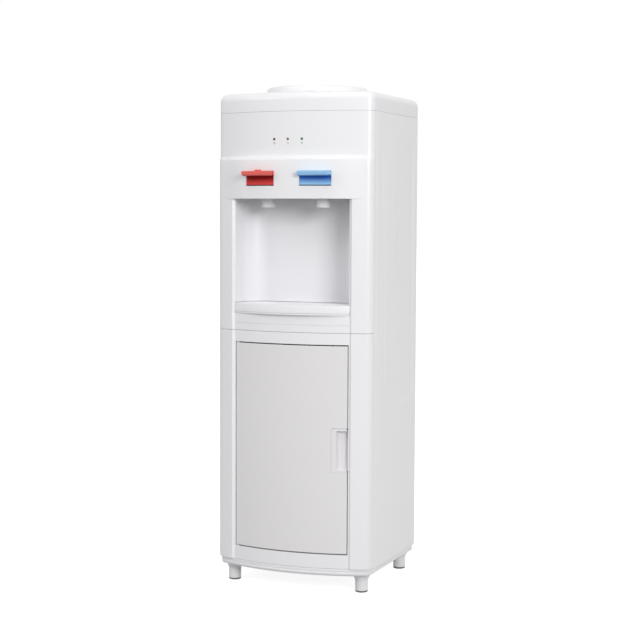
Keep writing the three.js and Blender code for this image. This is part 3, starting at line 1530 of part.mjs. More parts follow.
// Compressor: a domed oval shell on a foot plate, with two ports on top.
function compressor() {
  const low = compressorFoot + compressorLegThick / 2;
  const profile = shellShares.map(([radiusShare, heightShare]) =>
    [compressorRadius * radiusShare, low + (compressorTop - low) * heightShare]);
  const shell = turned([...profile],
    { x: compressorX, y: compressorY, sides: compressorSides, stretch: compressorStretch });
  const plate = slab(compressorX - compressorLegHalf, compressorX + compressorLegHalf,
    compressorY - compressorLegDepth, compressorY + compressorLegDepth, compressorFoot,
      compressorFoot + compressorLegThick);
  const port = (x, y) => rod([x, y, compressorTop - portDepth], [x, y, portTop], lineRadius, tubeSides);
  return join(shell, plate, port(suctionX, suctionY), port(dischargeX, dischargeY));
}

function relayBox() {
  const left = compressorX + compressorRadius * compressorStretch + seat;
  const z = compressorFoot + (compressorTop - compressorFoot) * waistShare;
  return slab(left, left + relayDepth, compressorY - relayWidth / 2, compressorY + relayWidth / 2,
    z - relayHeight / 2, z + relayHeight / 2);
}

// Condenser: one tube that comes up from the compressor, passes out through the rear panel and folds
// back and
// forth behind it, with a row of upright wires welded across it and four lugs on the panel.
function condenser() {
  const loopZ = portTop + dischargeLoop;
  const riser = pipe([
    [dischargeX, dischargeY, portTop + seat],
    [dischargeX, dischargeY, loopZ],
    [dischargeX, lineY, loopZ],
    [riserX, lineY, loopZ],
    [riserX, lineY, condenserTop],
    [riserX, condenserY - condenserBend, condenserTop],
  ], lineBend, lineRadius, wireSides);
  const folds = [[riserX, condenserY - condenserBend - lineRadius, condenserTop],
    [riserX, condenserY, condenserTop]];
  for (let run = 0; run < condenserRuns - 1; run += 1) {
    const x = run % 2 ? condenserHalf : -condenserHalf;
    const z = condenserTop - run * condenserPitch;
    folds.push([x, condenserY, z], [x, condenserY, z - condenserPitch]);
  }
  folds.push([-returnX, condenserY, condenserBottom],
    [-returnX, rearPanelInside - condenserInside, condenserBottom]);
  const tube = pipe(folds, lineBend, condenserTube, wireSides);
  const wireFront = condenserReach - wireHalf * 2;
  const spread = condenserHalf - condenserBend;
  const wires = Array.from({ length: wireCount }, (_, i) => {
    const x = (i / (wireCount - 1)) * spread * 2 - spread;
    return slab(x - wireHalf, x + wireHalf, wireFront, condenserReach, condenserBottom - wireMargin,
      condenserTop + wireMargin);
  });
  const face = rearPanelFace + seat;
  const lugs = lugRuns.flatMap((run) => [-lugX, lugX].flatMap((x) => {
    const z = condenserBottom + run * condenserPitch;
    return [
      slab(x - lugHalf, x + lugHalf, face, face + lugThick, z - lugHeight, z + lugHeight),
      slab(x - lugHalf, x + lugHalf, face, condenserY, z - lugThick / 2, z + lugThick / 2),
    ];
  }));
  return join(riser, tube, ...wires, ...lugs);
}

// Filter dryer: a copper cartridge with the line that comes down to it from the condenser.
function filterDryer() {
  const top = dryerBottom + dryerLength;
  const cartridge = turned([
    [0, dryerBottom - dryerTaper],
    [dryerNeck, dryerBottom - dryerTaper],
    [dryerNeck, dryerBottom],
    [dryerRadius, dryerBottom + dryerTaper],
    [dryerRadius, top - dryerTaper],
    [dryerNeck, top],
    [0, top],
  ], { x: dryerX, y: lineY, sides: smallSides });
  const line = pipe([
    [-returnX, rearPanelInside - condenserInside - seat, condenserBottom],
    [-returnX, lineY, condenserBottom],
    [-returnX, lineY, top + dryerLoop],
    [dryerX, lineY, top + dryerLoop],
    [dryerX, lineY, top - dryerTaper],
  ], lineBend / 2, lineRadius, wireSides);
  return join(cartridge, line);
}

function suctionLine() {
  const jogZ = coilEnd - suctionJog;
  return pipe([
    [coilFoot.x, coilFoot.y, coilEnd - seat],
    [coilFoot.x, coilFoot.y, jogZ],
    [suctionX, suctionY, jogZ],
    [suctionX, suctionY, portTop + seat],
  ], lineBend, lineRadius, wireSides);
}

const part = group(
  piece("base_tray", baseTray(), whitePlastic),
  piece("lower_front_panel", lowerFrontPanel(), whitePlastic),
  piece("upper_front_panel", upperFrontPanel(), whitePlastic),
  piece("top_cover", topCover(), whitePlastic),
  piece("side_panel_right", sidePanel(), whiteSheet),
  piece("side_panel_left", sidePanel(), whiteSheet),
  piece("rear_panel", rearPanel(), zincSheet),
  piece("cabinet_liner", cabinetLiner(), innerPlastic),
  piece("door", door(), greyPlastic),
  piece("door_handle_insert", doorHandle(), whitePlastic),
  piece("door_hinge_pin_top", hingePin(doorTop), steelShell),
  piece("door_hinge_pin_bottom", hingePin(doorwayBottom), steelShell),
  piece("door_magnet", doorMagnet(), blackShell),
  piece("door_catch_plate", catchPlate(), zincSheet),
  piece("recess_liner", recessLiner(), innerPlastic),
  piece("drip_tray", dripTray(), whitePlastic),
  piece("drip_grille", dripGrille(), innerPlastic),
  piece("hot_tap_body", tapBody(-1), innerPlastic),
  piece("hot_tap_lever", tapLever(-1), redPlastic),
  piece("hot_child_lock", childLock(), redPlastic),
  piece("hot_valve_stem", valveStem(-1), innerPlastic),
  piece("cold_tap_body", tapBody(1), innerPlastic),
  piece("cold_tap_lever", tapLever(1), bluePlastic),
  piece("cold_valve_stem", valveStem(1), innerPlastic),
  piece("lamp_hot", lamp(lampPlaces[0]), redLens),
  piece("lamp_power", lamp(lampPlaces[1]), yellowLens),
  piece("lamp_cold", lamp(lampPlaces[2]), greenLens),
  piece("indicator_board", indicatorBoard(), boardGreen),
  piece("middle_deck", middleDeck(), zincSheet),
  piece("tank_shelf", tankShelf(), zincSheet),
  piece("cold_tank", coldTank(), steelShell),
  piece("cold_tank_jacket", coldTankJacket(), foam),
  piece("evaporator_coil", evaporatorCoil(), copperTube),
  piece("bottle_collar", bottleCollar(), whitePlastic),
  piece("water_guard", waterGuard(), innerPlastic),
  piece("hot_tank", hotTank(), steelShell),
  piece("hot_tank_heater_band", heaterBand(), zincSheet),
  piece("cold_hose", coldHose(), hoseRubber),
  piece("hot_hose", hotHose(), hoseRubber),
  piece("feed_hose", feedHose(), hoseRubber),
  piece("drain_hose", drainHose(), hoseRubber),
  piece("drain_fitting", drainFitting(), innerPlastic),
  piece("drain_cap", drainCap(), blackShell),
  piece("cord_gland", cordGland(), blackShell),
  piece("switch_housing", switchHousing(), blackShell),
  piece("hot_switch", rocker(1), redPlastic),
  piece("cold_switch", rocker(-1), greenLens),
  piece("compressor", compressor(), blackShell),
  piece("compressor_relay_box", relayBox(), blackTube),
  piece("condenser", condenser(), blackTube),
  piece("filter_dryer", filterDryer(), copperTube),
  piece("suction_line", suctionLine(), copperTube),
);
part.getObjectByName("side_panel_left").scale.x = -1;
for (const [place, [x, y]] of Object.entries(footPlaces)) {
  part.add(piece(`foot_${place}`, foot(), whitePlastic, [x, y, 0]));
  part.add(piece(`foot_pad_${place}`, footPad(), padRubber, [x, y, 0]));
}

export default part;
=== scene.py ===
"""Fine surfaces, finishes and studio of a floor-standing water dispenser, in metres, in its CAD's frame."""

import json
import logging
from dataclasses import dataclass
from enum import Enum
from typing import Sequence

import bmesh
import bpy
import numpy as np
from mathutils import Matrix, Vector


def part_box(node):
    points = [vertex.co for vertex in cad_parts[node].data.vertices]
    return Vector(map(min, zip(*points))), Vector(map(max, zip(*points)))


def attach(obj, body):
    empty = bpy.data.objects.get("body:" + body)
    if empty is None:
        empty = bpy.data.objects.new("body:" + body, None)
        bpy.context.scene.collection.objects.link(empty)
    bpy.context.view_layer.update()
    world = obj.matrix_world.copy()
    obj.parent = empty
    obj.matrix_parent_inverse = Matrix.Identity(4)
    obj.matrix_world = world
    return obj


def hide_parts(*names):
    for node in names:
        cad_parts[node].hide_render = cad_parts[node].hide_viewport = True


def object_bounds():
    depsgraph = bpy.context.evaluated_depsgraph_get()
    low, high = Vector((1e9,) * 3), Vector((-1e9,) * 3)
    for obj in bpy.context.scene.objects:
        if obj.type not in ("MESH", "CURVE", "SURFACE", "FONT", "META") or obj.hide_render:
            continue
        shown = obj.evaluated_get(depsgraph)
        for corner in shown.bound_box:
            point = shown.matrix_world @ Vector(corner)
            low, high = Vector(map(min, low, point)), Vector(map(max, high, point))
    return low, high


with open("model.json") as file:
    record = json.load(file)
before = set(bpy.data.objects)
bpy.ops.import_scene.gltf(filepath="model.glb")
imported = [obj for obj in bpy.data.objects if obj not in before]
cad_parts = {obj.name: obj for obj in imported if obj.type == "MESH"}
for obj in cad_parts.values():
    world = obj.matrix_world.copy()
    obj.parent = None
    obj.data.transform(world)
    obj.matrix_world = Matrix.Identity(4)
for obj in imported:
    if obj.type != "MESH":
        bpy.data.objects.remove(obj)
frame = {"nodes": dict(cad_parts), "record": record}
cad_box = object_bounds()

LOG = logging.getLogger("water_dispenser")
MM = 0.001
TURN = 2 * np.pi
QUARTER = np.pi / 2
WELD = 1e-6
SLIVER = 1e-7
ODD_WAY = (0.31, 0.17, 0.93)
TAP_X = 0.055
NOZZLE_Y = -0.103
Object = bpy.types.Object
Tree = bpy.types.NodeTree
Node = bpy.types.Node
Socket = bpy.types.NodeSocket
Pair = tuple[float, float]
Place = tuple[float, float, float]
Tone = tuple[float, float, float, float]


class Axis(Enum):
    """Which way the axis of a turned piece points; for the level ones, the sign of its heights along Y."""

    UP = 0
    FORWARD = -1
    BACK = 1


class Tap(Enum):
    """The two taps, by the side of the housing that each is on."""

    HOT = -1
    COLD = 1


# Mesh tools


def spaced(edges: Sequence[float], step: float) -> np.ndarray:
    """Places that include every edge, with gaps no wider than a step.

    Args:
        edges: places that must be kept.
        step: the widest gap.

    Returns:
        The places in rising order.
    """
    kept = sorted(set(edges))
    runs = [np.linspace(a, b, int(np.ceil((b - a) / step)) + 1)[:-1] for a, b in zip(kept, kept[1:])]
    return np.append(np.concatenate(runs), kept[-1])


def smooth(t: np.ndarray) -> np.ndarray:
    """The curve 3t^2 - 2t^3, held to 0 and 1 outside its range."""
    t = np.clip(t, 0.0, 1.0)
    return t * t * (3 - 2 * t)


def arc_points(centre: Pair, radius: float, start: float, end: float, steps: int) -> np.ndarray:
    """Points centre + radius (cos a, sin a) for a from start to end, as an array of pairs."""
    angle = np.linspace(start, end, steps + 1)
    return np.stack([centre[0] + radius * np.cos(angle), centre[1] + radius * np.sin(angle)], axis=-1)


def placed(x: np.ndarray, y: np.ndarray, z: np.ndarray) -> np.ndarray:
    """Points (x, y, z) from three arrays or numbers that are spread to one shape."""
    return np.stack(np.broadcast_arrays(x, y, z), axis=-1)


def stacked(rows: Sequence[tuple[np.ndarray, float]]) -> np.ndarray:
    """Plan outlines of pairs (x, y), each set at its height, as rows of one grid."""
    return np.stack([placed(plan[:, 0], plan[:, 1], z) for plan, z in rows])


def span(box: Sequence[Vector], axis: str = "z") -> Pair:
    """Where a box starts and ends along one axis."""
    return getattr(box[0], axis), getattr(box[1], axis)


class Shell:
    """Surfaces of one piece, gathered as grids and caps before they become one mesh."""

    def __init__(self) -> None:
        """Starts with no points and no faces."""
        self.points: list[np.ndarray] = []
        self.faces: list[list[int]] = []

    def add(self, points: np.ndarray) -> int:
        """Keeps points and gives the number of the first one."""
        self.points.append(np.asarray(points, float).reshape(-1, 3))
        return sum(map(len, self.points[:-1]))

    def grid(self, points: np.ndarray, around: bool = False, keep: np.ndarray | None = None,
             flip: bool = False) -> "Shell":
        """Adds a grid of four-sided faces.

        Args:
            points: an array of rows, columns and 3.
            around: whether the last column joins the first.
            keep: a mask of the cells that stay, for openings.
            flip: turns the faces round.

        Returns:
            The shell itself.
        """
        rows, columns = points.shape[:2]
        number = self.add(points) + np.arange(rows * columns).reshape(rows, columns)
        if around:
            number = np.concatenate([number, number[:, :1]], axis=1)
        quads = np.stack([number[:-1, :-1], number[:-1, 1:], number[1:, 1:], number[1:, :-1]], axis=-1)
        quads = quads.reshape(-1, 4) if keep is None else quads[keep]
        self.faces += (quads[:, ::-1] if flip else quads).tolist()
        return self

    def cap(self, ring: np.ndarray, flip: bool = False) -> "Shell":
        """Closes a ring of points with one face.

        Args:
            ring: the ring's points.
            flip: turns the face round.

        Returns:
            The shell itself.
        """
        first = self.add(ring)
        corners = list(range(first, first + len(ring)))
        self.faces.append(corners[::-1] if flip else corners)
        return self

    def build(self, name: str, closed: bool = True) -> Object:
        """Welds the surfaces into one smooth-shaded object at the origin.

        Args:
            name: the piece's name.
            closed: whether the shell is closed, so that its faces can be turned outwards.

        Returns:
            The new object.
        """
        mesh = bpy.data.meshes.new(name)
        mesh.from_pydata(np.concatenate(self.points).tolist(), [], self.faces)
        work = bmesh.new()
        work.from_mesh(mesh)
        bmesh.ops.remove_doubles(work, verts=work.verts, dist=WELD)
        bmesh.ops.dissolve_degenerate(work, edges=work.edges, dist=SLIVER)
        if closed:
            bmesh.ops.recalc_face_normals(work, faces=work.faces)
        work.to_mesh(mesh)
        work.free()
        mesh.polygons.foreach_set("use_smooth", np.ones(len(mesh.polygons), bool))
        made = bpy.data.objects.new(name, mesh)
        bpy.context.scene.collection.objects.link(made)
        return made


def walled(piece: Object, thickness: float, even: bool = True) -> Object:
    """Gives an open surface a wall that grows inwards from its face.

    Args:
        piece: the open surface.
        thickness: how thick the wall is.
        even: whether it keeps that thickness where the face bends sharply.

    Returns:
        The piece.
    """
    wall = piece.modifiers.new("wall", "SOLIDIFY")
    wall.thickness = thickness
    wall.offset = -1.0
    wall.use_even_offset = even
    return piece


def eased(piece: Object, width: float, segments: int = 3, angle: float = 30.0) -> Object:
    """Rounds a piece's sharp edges.

    Args:
        piece: the piece.
        width: how far the rounding reaches from an edge.
        segments: facets in it.
        angle: edges sharper than this, in degrees, are rounded.

    Returns:
        The piece.
    """
    edge = piece.modifiers.new("edge", "BEVEL")
    edge.width = width
    edge.segments = segments
    edge.limit_method = "ANGLE"
    edge.angle_limit = np.radians(angle)
    edge.harden_normals = True
    edge.use_clamp_overlap = True
    return piece


def revolved(name: str, profile: Sequence[Pair], place: Place, axis: Axis = Axis.UP, sides: int = 48,
             stretch: float = 1.0, keep: np.ndarray | None = None) -> Object:
    """A turned piece: each profile pair (r, h) becomes the circle (r cos a, r sin a, h).

    Args:
        name: the piece's name.
        profile: pairs of radius and height along the axis, from one pole to the other or closed on itself.
        place: a point on the axis at height 0.
        axis: which way the heights run.
        sides: facets round the circle.
        stretch: how much wider the circle is across the first direction.
        keep: a mask of the cells that stay.

    Returns:
        The new object.
    """
    pairs = np.asarray(profile, float)
    angle = np.linspace(0, TURN, sides, endpoint=False)
    across, other, along = pairs[:, :1] * np.cos(angle) * stretch, pairs[:, :1] * np.sin(angle), pairs[:, 1:]
    points = placed(across, other, along) if axis is Axis.UP else placed(across, along * axis.value, other)
    return Shell().grid(points + np.array(place), around=True, keep=keep).build(name)


def rounded_path(corners: Sequence[Sequence[float]], bend: float, steps: int = 8) -> np.ndarray:
    """Straight runs joined by arcs of one bend radius.

    Each corner gives way to start + bend (sin a) u + bend (1 - cos a) v, where u is the way in and v is
    square to it, towards the way out.

    Args:
        corners: the corners of the route.
        bend: the radius of every bend.
        steps: runs in each bend.

    Returns:
        The points of the route.
    """
    places = np.asarray(corners, float)
    ways = np.diff(places, axis=0)
    ways /= np.linalg.norm(ways, axis=1)[:, None]
    route = [places[:1]]
    for corner, before, after in zip(places[1:-1], ways[:-1], ways[1:]):
        turn = np.arccos(np.clip(before @ after, -1, 1))
        inward = after - before * (before @ after)
        inward /= np.linalg.norm(inward)
        angle = np.linspace(0, turn, steps + 1)[:, None]
        start = corner - before * bend * np.tan(turn / 2)
        route.append(start + bend * (np.sin(angle) * before + (1 - np.cos(angle)) * inward))
    return np.concatenate([*route, places[-1:]])


def tube(shell: Shell, route: Sequence[Sequence[float]], radius: float, sides: int) -> Shell:
    """Adds a round bar along a route, closed at both ends.

    Each circle lies square to the mean of the runs on its two sides, and its frame is carried along
    by taking out what leans along the route. The frame starts from a direction that no route here has.

    Args:
        shell: where the bar goes.
        route: the points of its centre line.
        radius: the bar's radius.
        sides: facets round it.

    Returns:
        The shell itself.
    """
    route = np.asarray(route, float)
    runs = np.diff(route, axis=0)
    runs /= np.linalg.norm(runs, axis=1)[:, None]
    ways = np.concatenate([runs[:1], runs[:-1] + runs[1:], runs[-1:]])
    ways /= np.linalg.norm(ways, axis=1)[:, None]
    side = np.cross(ways[0], ODD_WAY)
    frames = []
    for way in ways:
        side = side - way * (side @ way)
        side /= np.linalg.norm(side)
        frames.append((side, np.cross(way, side)))
    first, second = (np.array([f[i] for f in frames])[:, None, :] for i in (0, 1))
    angle = np.linspace(0, TURN, sides, endpoint=False)[None, :, None]
    rings = route[:, None, :] + radius * (np.cos(angle) * first + np.sin(angle) * second)
    return shell.grid(rings, around=True).cap(rings[0], flip=True).cap(rings[-1])


def prism(shell: Shell, outline: np.ndarray, low: float, high: float) -> Shell:
    """Adds an upright prism over a plan outline of pairs (x, y)."""
    rings = stacked([(outline, low), (outline, high)])
    return shell.grid(rings, around=True).cap(rings[0], flip=True).cap(rings[1])


def slab(shell: Shell, low: Sequence[float], high: Sequence[float]) -> Shell:
    """Adds a block between two corners, to be eased at its edges."""
    (x0, y0, z0), (x1, y1, z1) = low, high
    return prism(shell, np.array([[x0, y0], [x1, y0], [x1, y1], [x0, y1]]), z0, z1)


# Materials


def linear(*rgb: int) -> Tone:
    """A colour of 0 to 255 as the eye reads it, turned by the sRGB curve into the shader's linear colour.

    Args:
        rgb: red, green and blue.

    Returns:
        The linear colour, opaque.
    """
    share = np.array(rgb) / 255
    value = np.where(share <= 0.04045, share / 12.92, ((share + 0.055) / 1.055) ** 2.4)
    return (*value.tolist(), 1.0)


def fill(tree: Tree, node: Node, values: dict[str | int, object]) -> Node:
    """Links or sets the inputs of a node.

    Args:
        tree: the tree that the node is in.
        node: the node.
        values: for each input's name or number, a socket to link or a plain value.

    Returns:
        The node.
    """
    for key, value in values.items():
        if isinstance(value, Socket):
            tree.links.new(value, node.inputs[key])
        else:
            node.inputs[key].default_value = value
    return node


def add(tree: Tree, kind: str, values: dict[str | int, object], **settings: object) -> Node:
    """Adds a shader node.

    Args:
        tree: where it goes.
        kind: its type, without the shader prefix.
        values: what its inputs are linked or set to.
        settings: its own settings, made before its inputs.

    Returns:
        The node.
    """
    node = tree.nodes.new(f"ShaderNode{kind}")
    for key, value in settings.items():
        setattr(node, key, value)
    return fill(tree, node, values)


def noise(tree: Tree, vector: Socket, scale: Socket | float, detail: float) -> Socket:
    """A noise texture's value, with its scale from a number or a socket."""
    return add(tree, "TexNoise", {"Detail": detail, "Vector": vector, "Scale": scale}).outputs["Fac"]


def ramp(tree: Tree, value: Socket, places: Pair) -> Socket:
    """A value's rise from 0 at the first place to 1 at the second."""
    given = {"From Min": places[0], "From Max": places[1], "Value": value}
    return add(tree, "MapRange", given).outputs["Result"]


def maths(tree: Tree, operation: str, *values: object) -> Socket:
    """What a Math node makes of sockets and numbers."""
    return add(tree, "Math", dict(enumerate(values)), operation=operation).outputs[0]


class NodeGroups:
    """Surface effects that several materials share, each built once as a node group."""

    made: dict[str, Tree] = {}
    inputs: dict[str, dict[str, float]] = {
        "moulding_grain": {"Fine": 1400.0, "Coarse": 60.0, "Waviness": 0.5},
        "drawn_lines": {"Fine": 900.0},
        "zinc_spangle": {"Fine": 130.0},
        "lever_wear": {},
    }
    squeeze: Place = (1.0, 1.0, 0.02)
    # Where the levers' painted highlight and painted shade start and are full.
    lip_front: Pair = (-0.1545, -0.1575)
    lever_face: Pair = (0.7525, 0.7635)
    lip_foot: Pair = (0.7705, 0.7685)

    @classmethod
    def get(cls, name: str) -> Tree:
        """A group with a Vector input, its number inputs and an output for each result of its method.

        Args:
            name: the group's name, which is also the name of the method that fills it.

        Returns:
            The group, made the first time that it is asked for.
        """
        if name in cls.made:
            return cls.made[name]
        tree = bpy.data.node_groups.new(name, "ShaderNodeTree")
        tree.interface.new_socket("Vector", in_out="INPUT", socket_type="NodeSocketVector")
        for key, value in cls.inputs[name].items():
            socket = tree.interface.new_socket(key, in_out="INPUT", socket_type="NodeSocketFloat")
            socket.default_value = value
        results = getattr(cls, name)(tree, tree.nodes.new("NodeGroupInput").outputs)
        for key in results:
            tree.interface.new_socket(key, in_out="OUTPUT", socket_type="NodeSocketFloat")
        fill(tree, tree.nodes.new("NodeGroupOutput"), results)
        cls.made[name] = tree
        return tree

    @classmethod
    def moulding_grain(cls, tree: Tree, given: Sequence[Socket]) -> dict[str, Socket]:
        """The faint orange peel of a polished mould and the slow waviness of a cooled wall.

        Args:
            tree: the group.
            given: its inputs.

        Returns:
            Height, fine noise plus a share of coarse noise, and Cloud, very coarse noise.
        """
        fine = noise(tree, given["Vector"], given["Fine"], detail=2.0)
        coarse = noise(tree, given["Vector"], given["Coarse"], detail=1.0)
        height = maths(tree, "MULTIPLY_ADD", coarse, given["Waviness"], fine)
        return {"Height": height, "Cloud": noise(tree, given["Vector"], scale=9.0, detail=3.0)}

    @classmethod
    def drawn_lines(cls, tree: Tree, given: Sequence[Socket]) -> dict[str, Socket]:
        """Fine lines of brushed or drawn metal: noise stretched along one direction.

        Args:
            tree: the group.
            given: its inputs.

        Returns:
            Height, the stretched noise, and Cloud, coarse noise.
        """
        drawn = add(tree, "Mapping", {"Scale": cls.squeeze, "Vector": given["Vector"]}).outputs["Vector"]
        return {"Height": noise(tree, drawn, given["Fine"], detail=2.0),
                "Cloud": noise(tree, given["Vector"], scale=14.0, detail=4.0)}

    @classmethod
    def zinc_spangle(cls, tree: Tree, given: Sequence[Socket]) -> dict[str, Socket]:
        """The flowers of zinc plating: cells that each have a shade of their own, with soft noise.

        Args:
            tree: the group.
            given: its inputs.

        Returns:
            Height, fine noise, and Cloud, the shade of the cell.
        """
        cells = add(tree, "TexVoronoi", {"Vector": given["Vector"], "Scale": given["Fine"]})
        return {"Height": noise(tree, given["Vector"], scale=700.0, detail=2.0),
                "Cloud": cells.outputs["Color"]}

    @classmethod
    def lever_wear(cls, tree: Tree, given: Sequence[Socket]) -> dict[str, Socket]:
        """Masks of a lever's painted light: a painted highlight on the lip and painted shade under it.

        Args:
            tree: the group.
            given: its inputs.

        Returns:
            A painted highlight that rises towards the lip's front edge, and painted shade up the face to the
            lip's foot.
        """
        parts = add(tree, "SeparateXYZ", {"Vector": given["Vector"]}).outputs
        rise, foot = (ramp(tree, parts["Z"], places) for places in (cls.lever_face, cls.lip_foot))
        return {"Wear": ramp(tree, parts["Y"], cls.lip_front), "Hollow": maths(tree, "MULTIPLY", rise, foot)}


class Surface(Enum):
    """Which shared effect a finish is built on."""

    MOULDED = "moulding_grain"
    DRAWN = "drawn_lines"
    SPANGLED = "zinc_spangle"


@dataclass(frozen=True)
class Finish:
    """How one material looks: its colour, its gloss and the small relief of its surface."""

    name: str
    color: Tone
    roughness: float
    surface: Surface = Surface.MOULDED
    metallic: float = 0.0
    coat: float = 0.0
    coat_roughness: float = 0.08
    refraction: float = 1.5
    relief: float = 0.04
    relief_depth: float = 0.0002
    fine: float | None = None
    shade: float = 0.03
    rough_spread: float = 0.06
    transmission: float = 0.0
    specular: float = 0.5
    # Painted light on the levers: a paler tone as a painted highlight on the lip, and a darker tone as
    # painted shade under it.
    worn: Tone | None = None
    deep: Tone | None = None

    def build(self) -> bpy.types.Material:
        """Makes the material: clouded colour, clouded roughness and a bump from the shared effect.

        Returns:
            The material.
        """
        made = bpy.data.materials.new(self.name)
        made.use_nodes = True
        tree = made.node_tree
        place = tree.nodes.new("ShaderNodeTexCoord").outputs["Object"]
        given = {"Vector": place} if self.fine is None else {"Vector": place, "Fine": self.fine}
        effect = add(tree, "Group", given, node_tree=NodeGroups.get(self.surface.value))
        cloud = effect.outputs["Cloud"]
        dark = (*[c * (1 - self.shade) for c in self.color[:3]], 1.0)
        tint = add(tree, "Mix", {"Factor": cloud, "A": self.color, "B": dark}, data_type="RGBA")
        gloss = add(tree, "MapRange", {"Value": cloud, "To Min": self.roughness,
                                       "To Max": self.roughness + self.rough_spread})
        bump = add(tree, "Bump", {"Height": effect.outputs["Height"], "Strength": self.relief,
                                  "Distance": self.relief_depth})
        fill(tree, tree.nodes["Principled BSDF"], {
            "Base Color": self.painted_lip_light(tree, place, tint.outputs["Result"]),
            "Roughness": gloss.outputs["Result"], "Normal": bump.outputs["Normal"],
            "Metallic": self.metallic, "Coat Weight": self.coat, "Coat Roughness": self.coat_roughness,
            "Transmission Weight": self.transmission, "IOR": self.refraction,
            "Specular IOR Level": self.specular,
        })
        return made

    def painted_lip_light(self, tree: Tree, place: Socket, color: Socket) -> Socket:
        """Paints shade into the colour under a lever's lip and a painted highlight over the lip's front edge.

        Args:
            tree: the material's tree.
            place: its object coordinates.
            color: the colour before wear.

        Returns:
            The colour with both painted tones mixed in, or the colour itself for a finish that has none.
        """
        if self.worn is None or self.deep is None:
            return color
        lip_masks = add(tree, "Group", {"Vector": place}, node_tree=NodeGroups.get("lever_wear"))
        # Painted shade first, then the painted highlight.
        for mask, tone in (("Hollow", self.deep), ("Wear", self.worn)):
            mix = add(tree, "Mix", {"Factor": lip_masks.outputs[mask], "A": color, "B": tone}, data_type="RGBA")
            color = mix.outputs["Result"]
        return color


FINISHES = {finish.name: finish for finish in (
    Finish("white_abs", linear(240, 240, 242), 0.3, coat=0.08, shade=0.008, rough_spread=0.02),
    Finish("inner_abs", linear(246, 246, 249), 0.34, shade=0.008, rough_spread=0.02),
    Finish("door_abs", linear(230, 228, 229), 0.16, coat=0.3, relief=0.03, shade=0.01, rough_spread=0.02),
    Finish("painted_sheet", linear(244, 244, 244), 0.34, relief=0.12, fine=900.0, shade=0.01,
           rough_spread=0.03),
    Finish("zinc_sheet", linear(186, 189, 192), 0.38, Surface.SPANGLED, metallic=1.0, shade=0.16,
           rough_spread=0.14),
    Finish("black_tube", linear(28, 28, 30), 0.36, relief=0.1),
    Finish("black_shell", linear(26, 27, 30), 0.24, coat=0.3, relief=0.1, fine=300.0),
    Finish("black_abs", linear(34, 34, 36), 0.46, relief=0.14),
    Finish("black_magnet", linear(38, 36, 35), 0.7, relief=0.3, shade=0.15),
    Finish("stainless", linear(198, 200, 203), 0.24, Surface.DRAWN, metallic=1.0, relief=0.1),
    Finish("copper", linear(190, 118, 78), 0.3, Surface.DRAWN, metallic=1.0, relief=0.08, shade=0.2),
    Finish("foam", linear(232, 220, 188), 0.9, relief=0.5, relief_depth=0.001, fine=400.0, shade=0.12),
    # The red and blue levers get a painted highlight, paler, on the lip and painted shade, darker, under it.
    Finish("red_abs", linear(230, 78, 74), 0.36, shade=0.04, specular=0.12, worn=linear(230, 108, 100),
           deep=linear(144, 8, 8)),
    Finish("blue_abs", linear(156, 208, 250), 0.36, shade=0.04, specular=0.12, worn=linear(150, 198, 238),
           deep=linear(52, 104, 190)),
    Finish("silicone", linear(222, 226, 229), 0.5, transmission=0.1),
    Finish("pad_rubber", linear(122, 120, 120), 0.75, relief=0.3, shade=0.15),
    Finish("red_lens", linear(104, 14, 20), 0.1, coat=0.6, relief=0.02),
    Finish("yellow_lens", linear(126, 104, 22), 0.1, coat=0.6, relief=0.02),
    Finish("green_lens", linear(34, 124, 60), 0.1, coat=0.6, relief=0.02),
    Finish("red_switch", linear(206, 44, 42), 0.26, coat=0.2),
    Finish("green_switch", linear(38, 140, 68), 0.26, coat=0.2),
    Finish("circuit_board", linear(36, 98, 52), 0.4, coat=0.4, shade=0.2),
    Finish("handle_abs", linear(233, 231, 234), 0.3, shade=0.01, rough_spread=0.02),
    Finish("nozzle_abs", linear(238, 238, 242), 0.1, coat=0.6, relief=0.02, rough_spread=0.02),
    # A dark grey that paints the shadow at the top of the bay, on a plate under the liner's top.
    Finish("shade_abs", linear(84, 80, 84), 0.6, shade=0.06),
    Finish("print_grey", linear(120, 120, 126), 0.5),
)}


class Workshop:
    """Makes each material once, dresses pieces and ties them to the CAD's bodies."""

    def __init__(self) -> None:
        """Reads which slot each CAD node has and which slots there are."""
        record = frame["record"]
        self.materials: dict[str, bpy.types.Material] = {}
        self.slot_of = {row["node"]: row["material_slot"] for row in record["subparts"]}
        self.slots = {row["slot"] for row in record["materials"]}

    def material(self, name: str) -> bpy.types.Material:
        """The material of a finish, made the first time that it is asked for.

        Args:
            name: the finish's name.

        Returns:
            The material.
        """
        if name not in self.materials:
            self.materials[name] = FINISHES[name].build()
        return self.materials[name]

    def dress(self, piece: Object, finish: str, body: str = "housing", nodes: Sequence[str] = ()) -> None:
        """Gives a new piece its finish and body, and hides the CAD nodes that it stands for.

        Args:
            piece: the new piece.
            finish: the name of its finish.
            body: the CAD body that it moves with.
            nodes: CAD nodes that it replaces.
        """
        piece.data.materials.append(self.material(finish))
        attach(piece, body)
        if nodes:
            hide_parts(*nodes)
        LOG.info("%s: %s on %s, %d faces", piece.name, finish, body, len(piece.data.polygons))

    def dress_nodes(self) -> None:
        """Gives every CAD node that still shows the finish of its slot."""
        for name, node in frame["nodes"].items():
            if not node.hide_render:
                node.data.materials.clear()
                node.data.materials.append(self.material(self.slot_of[name]))
                LOG.info("%s: %s, as the CAD has it", name, self.slot_of[name])


# Housing


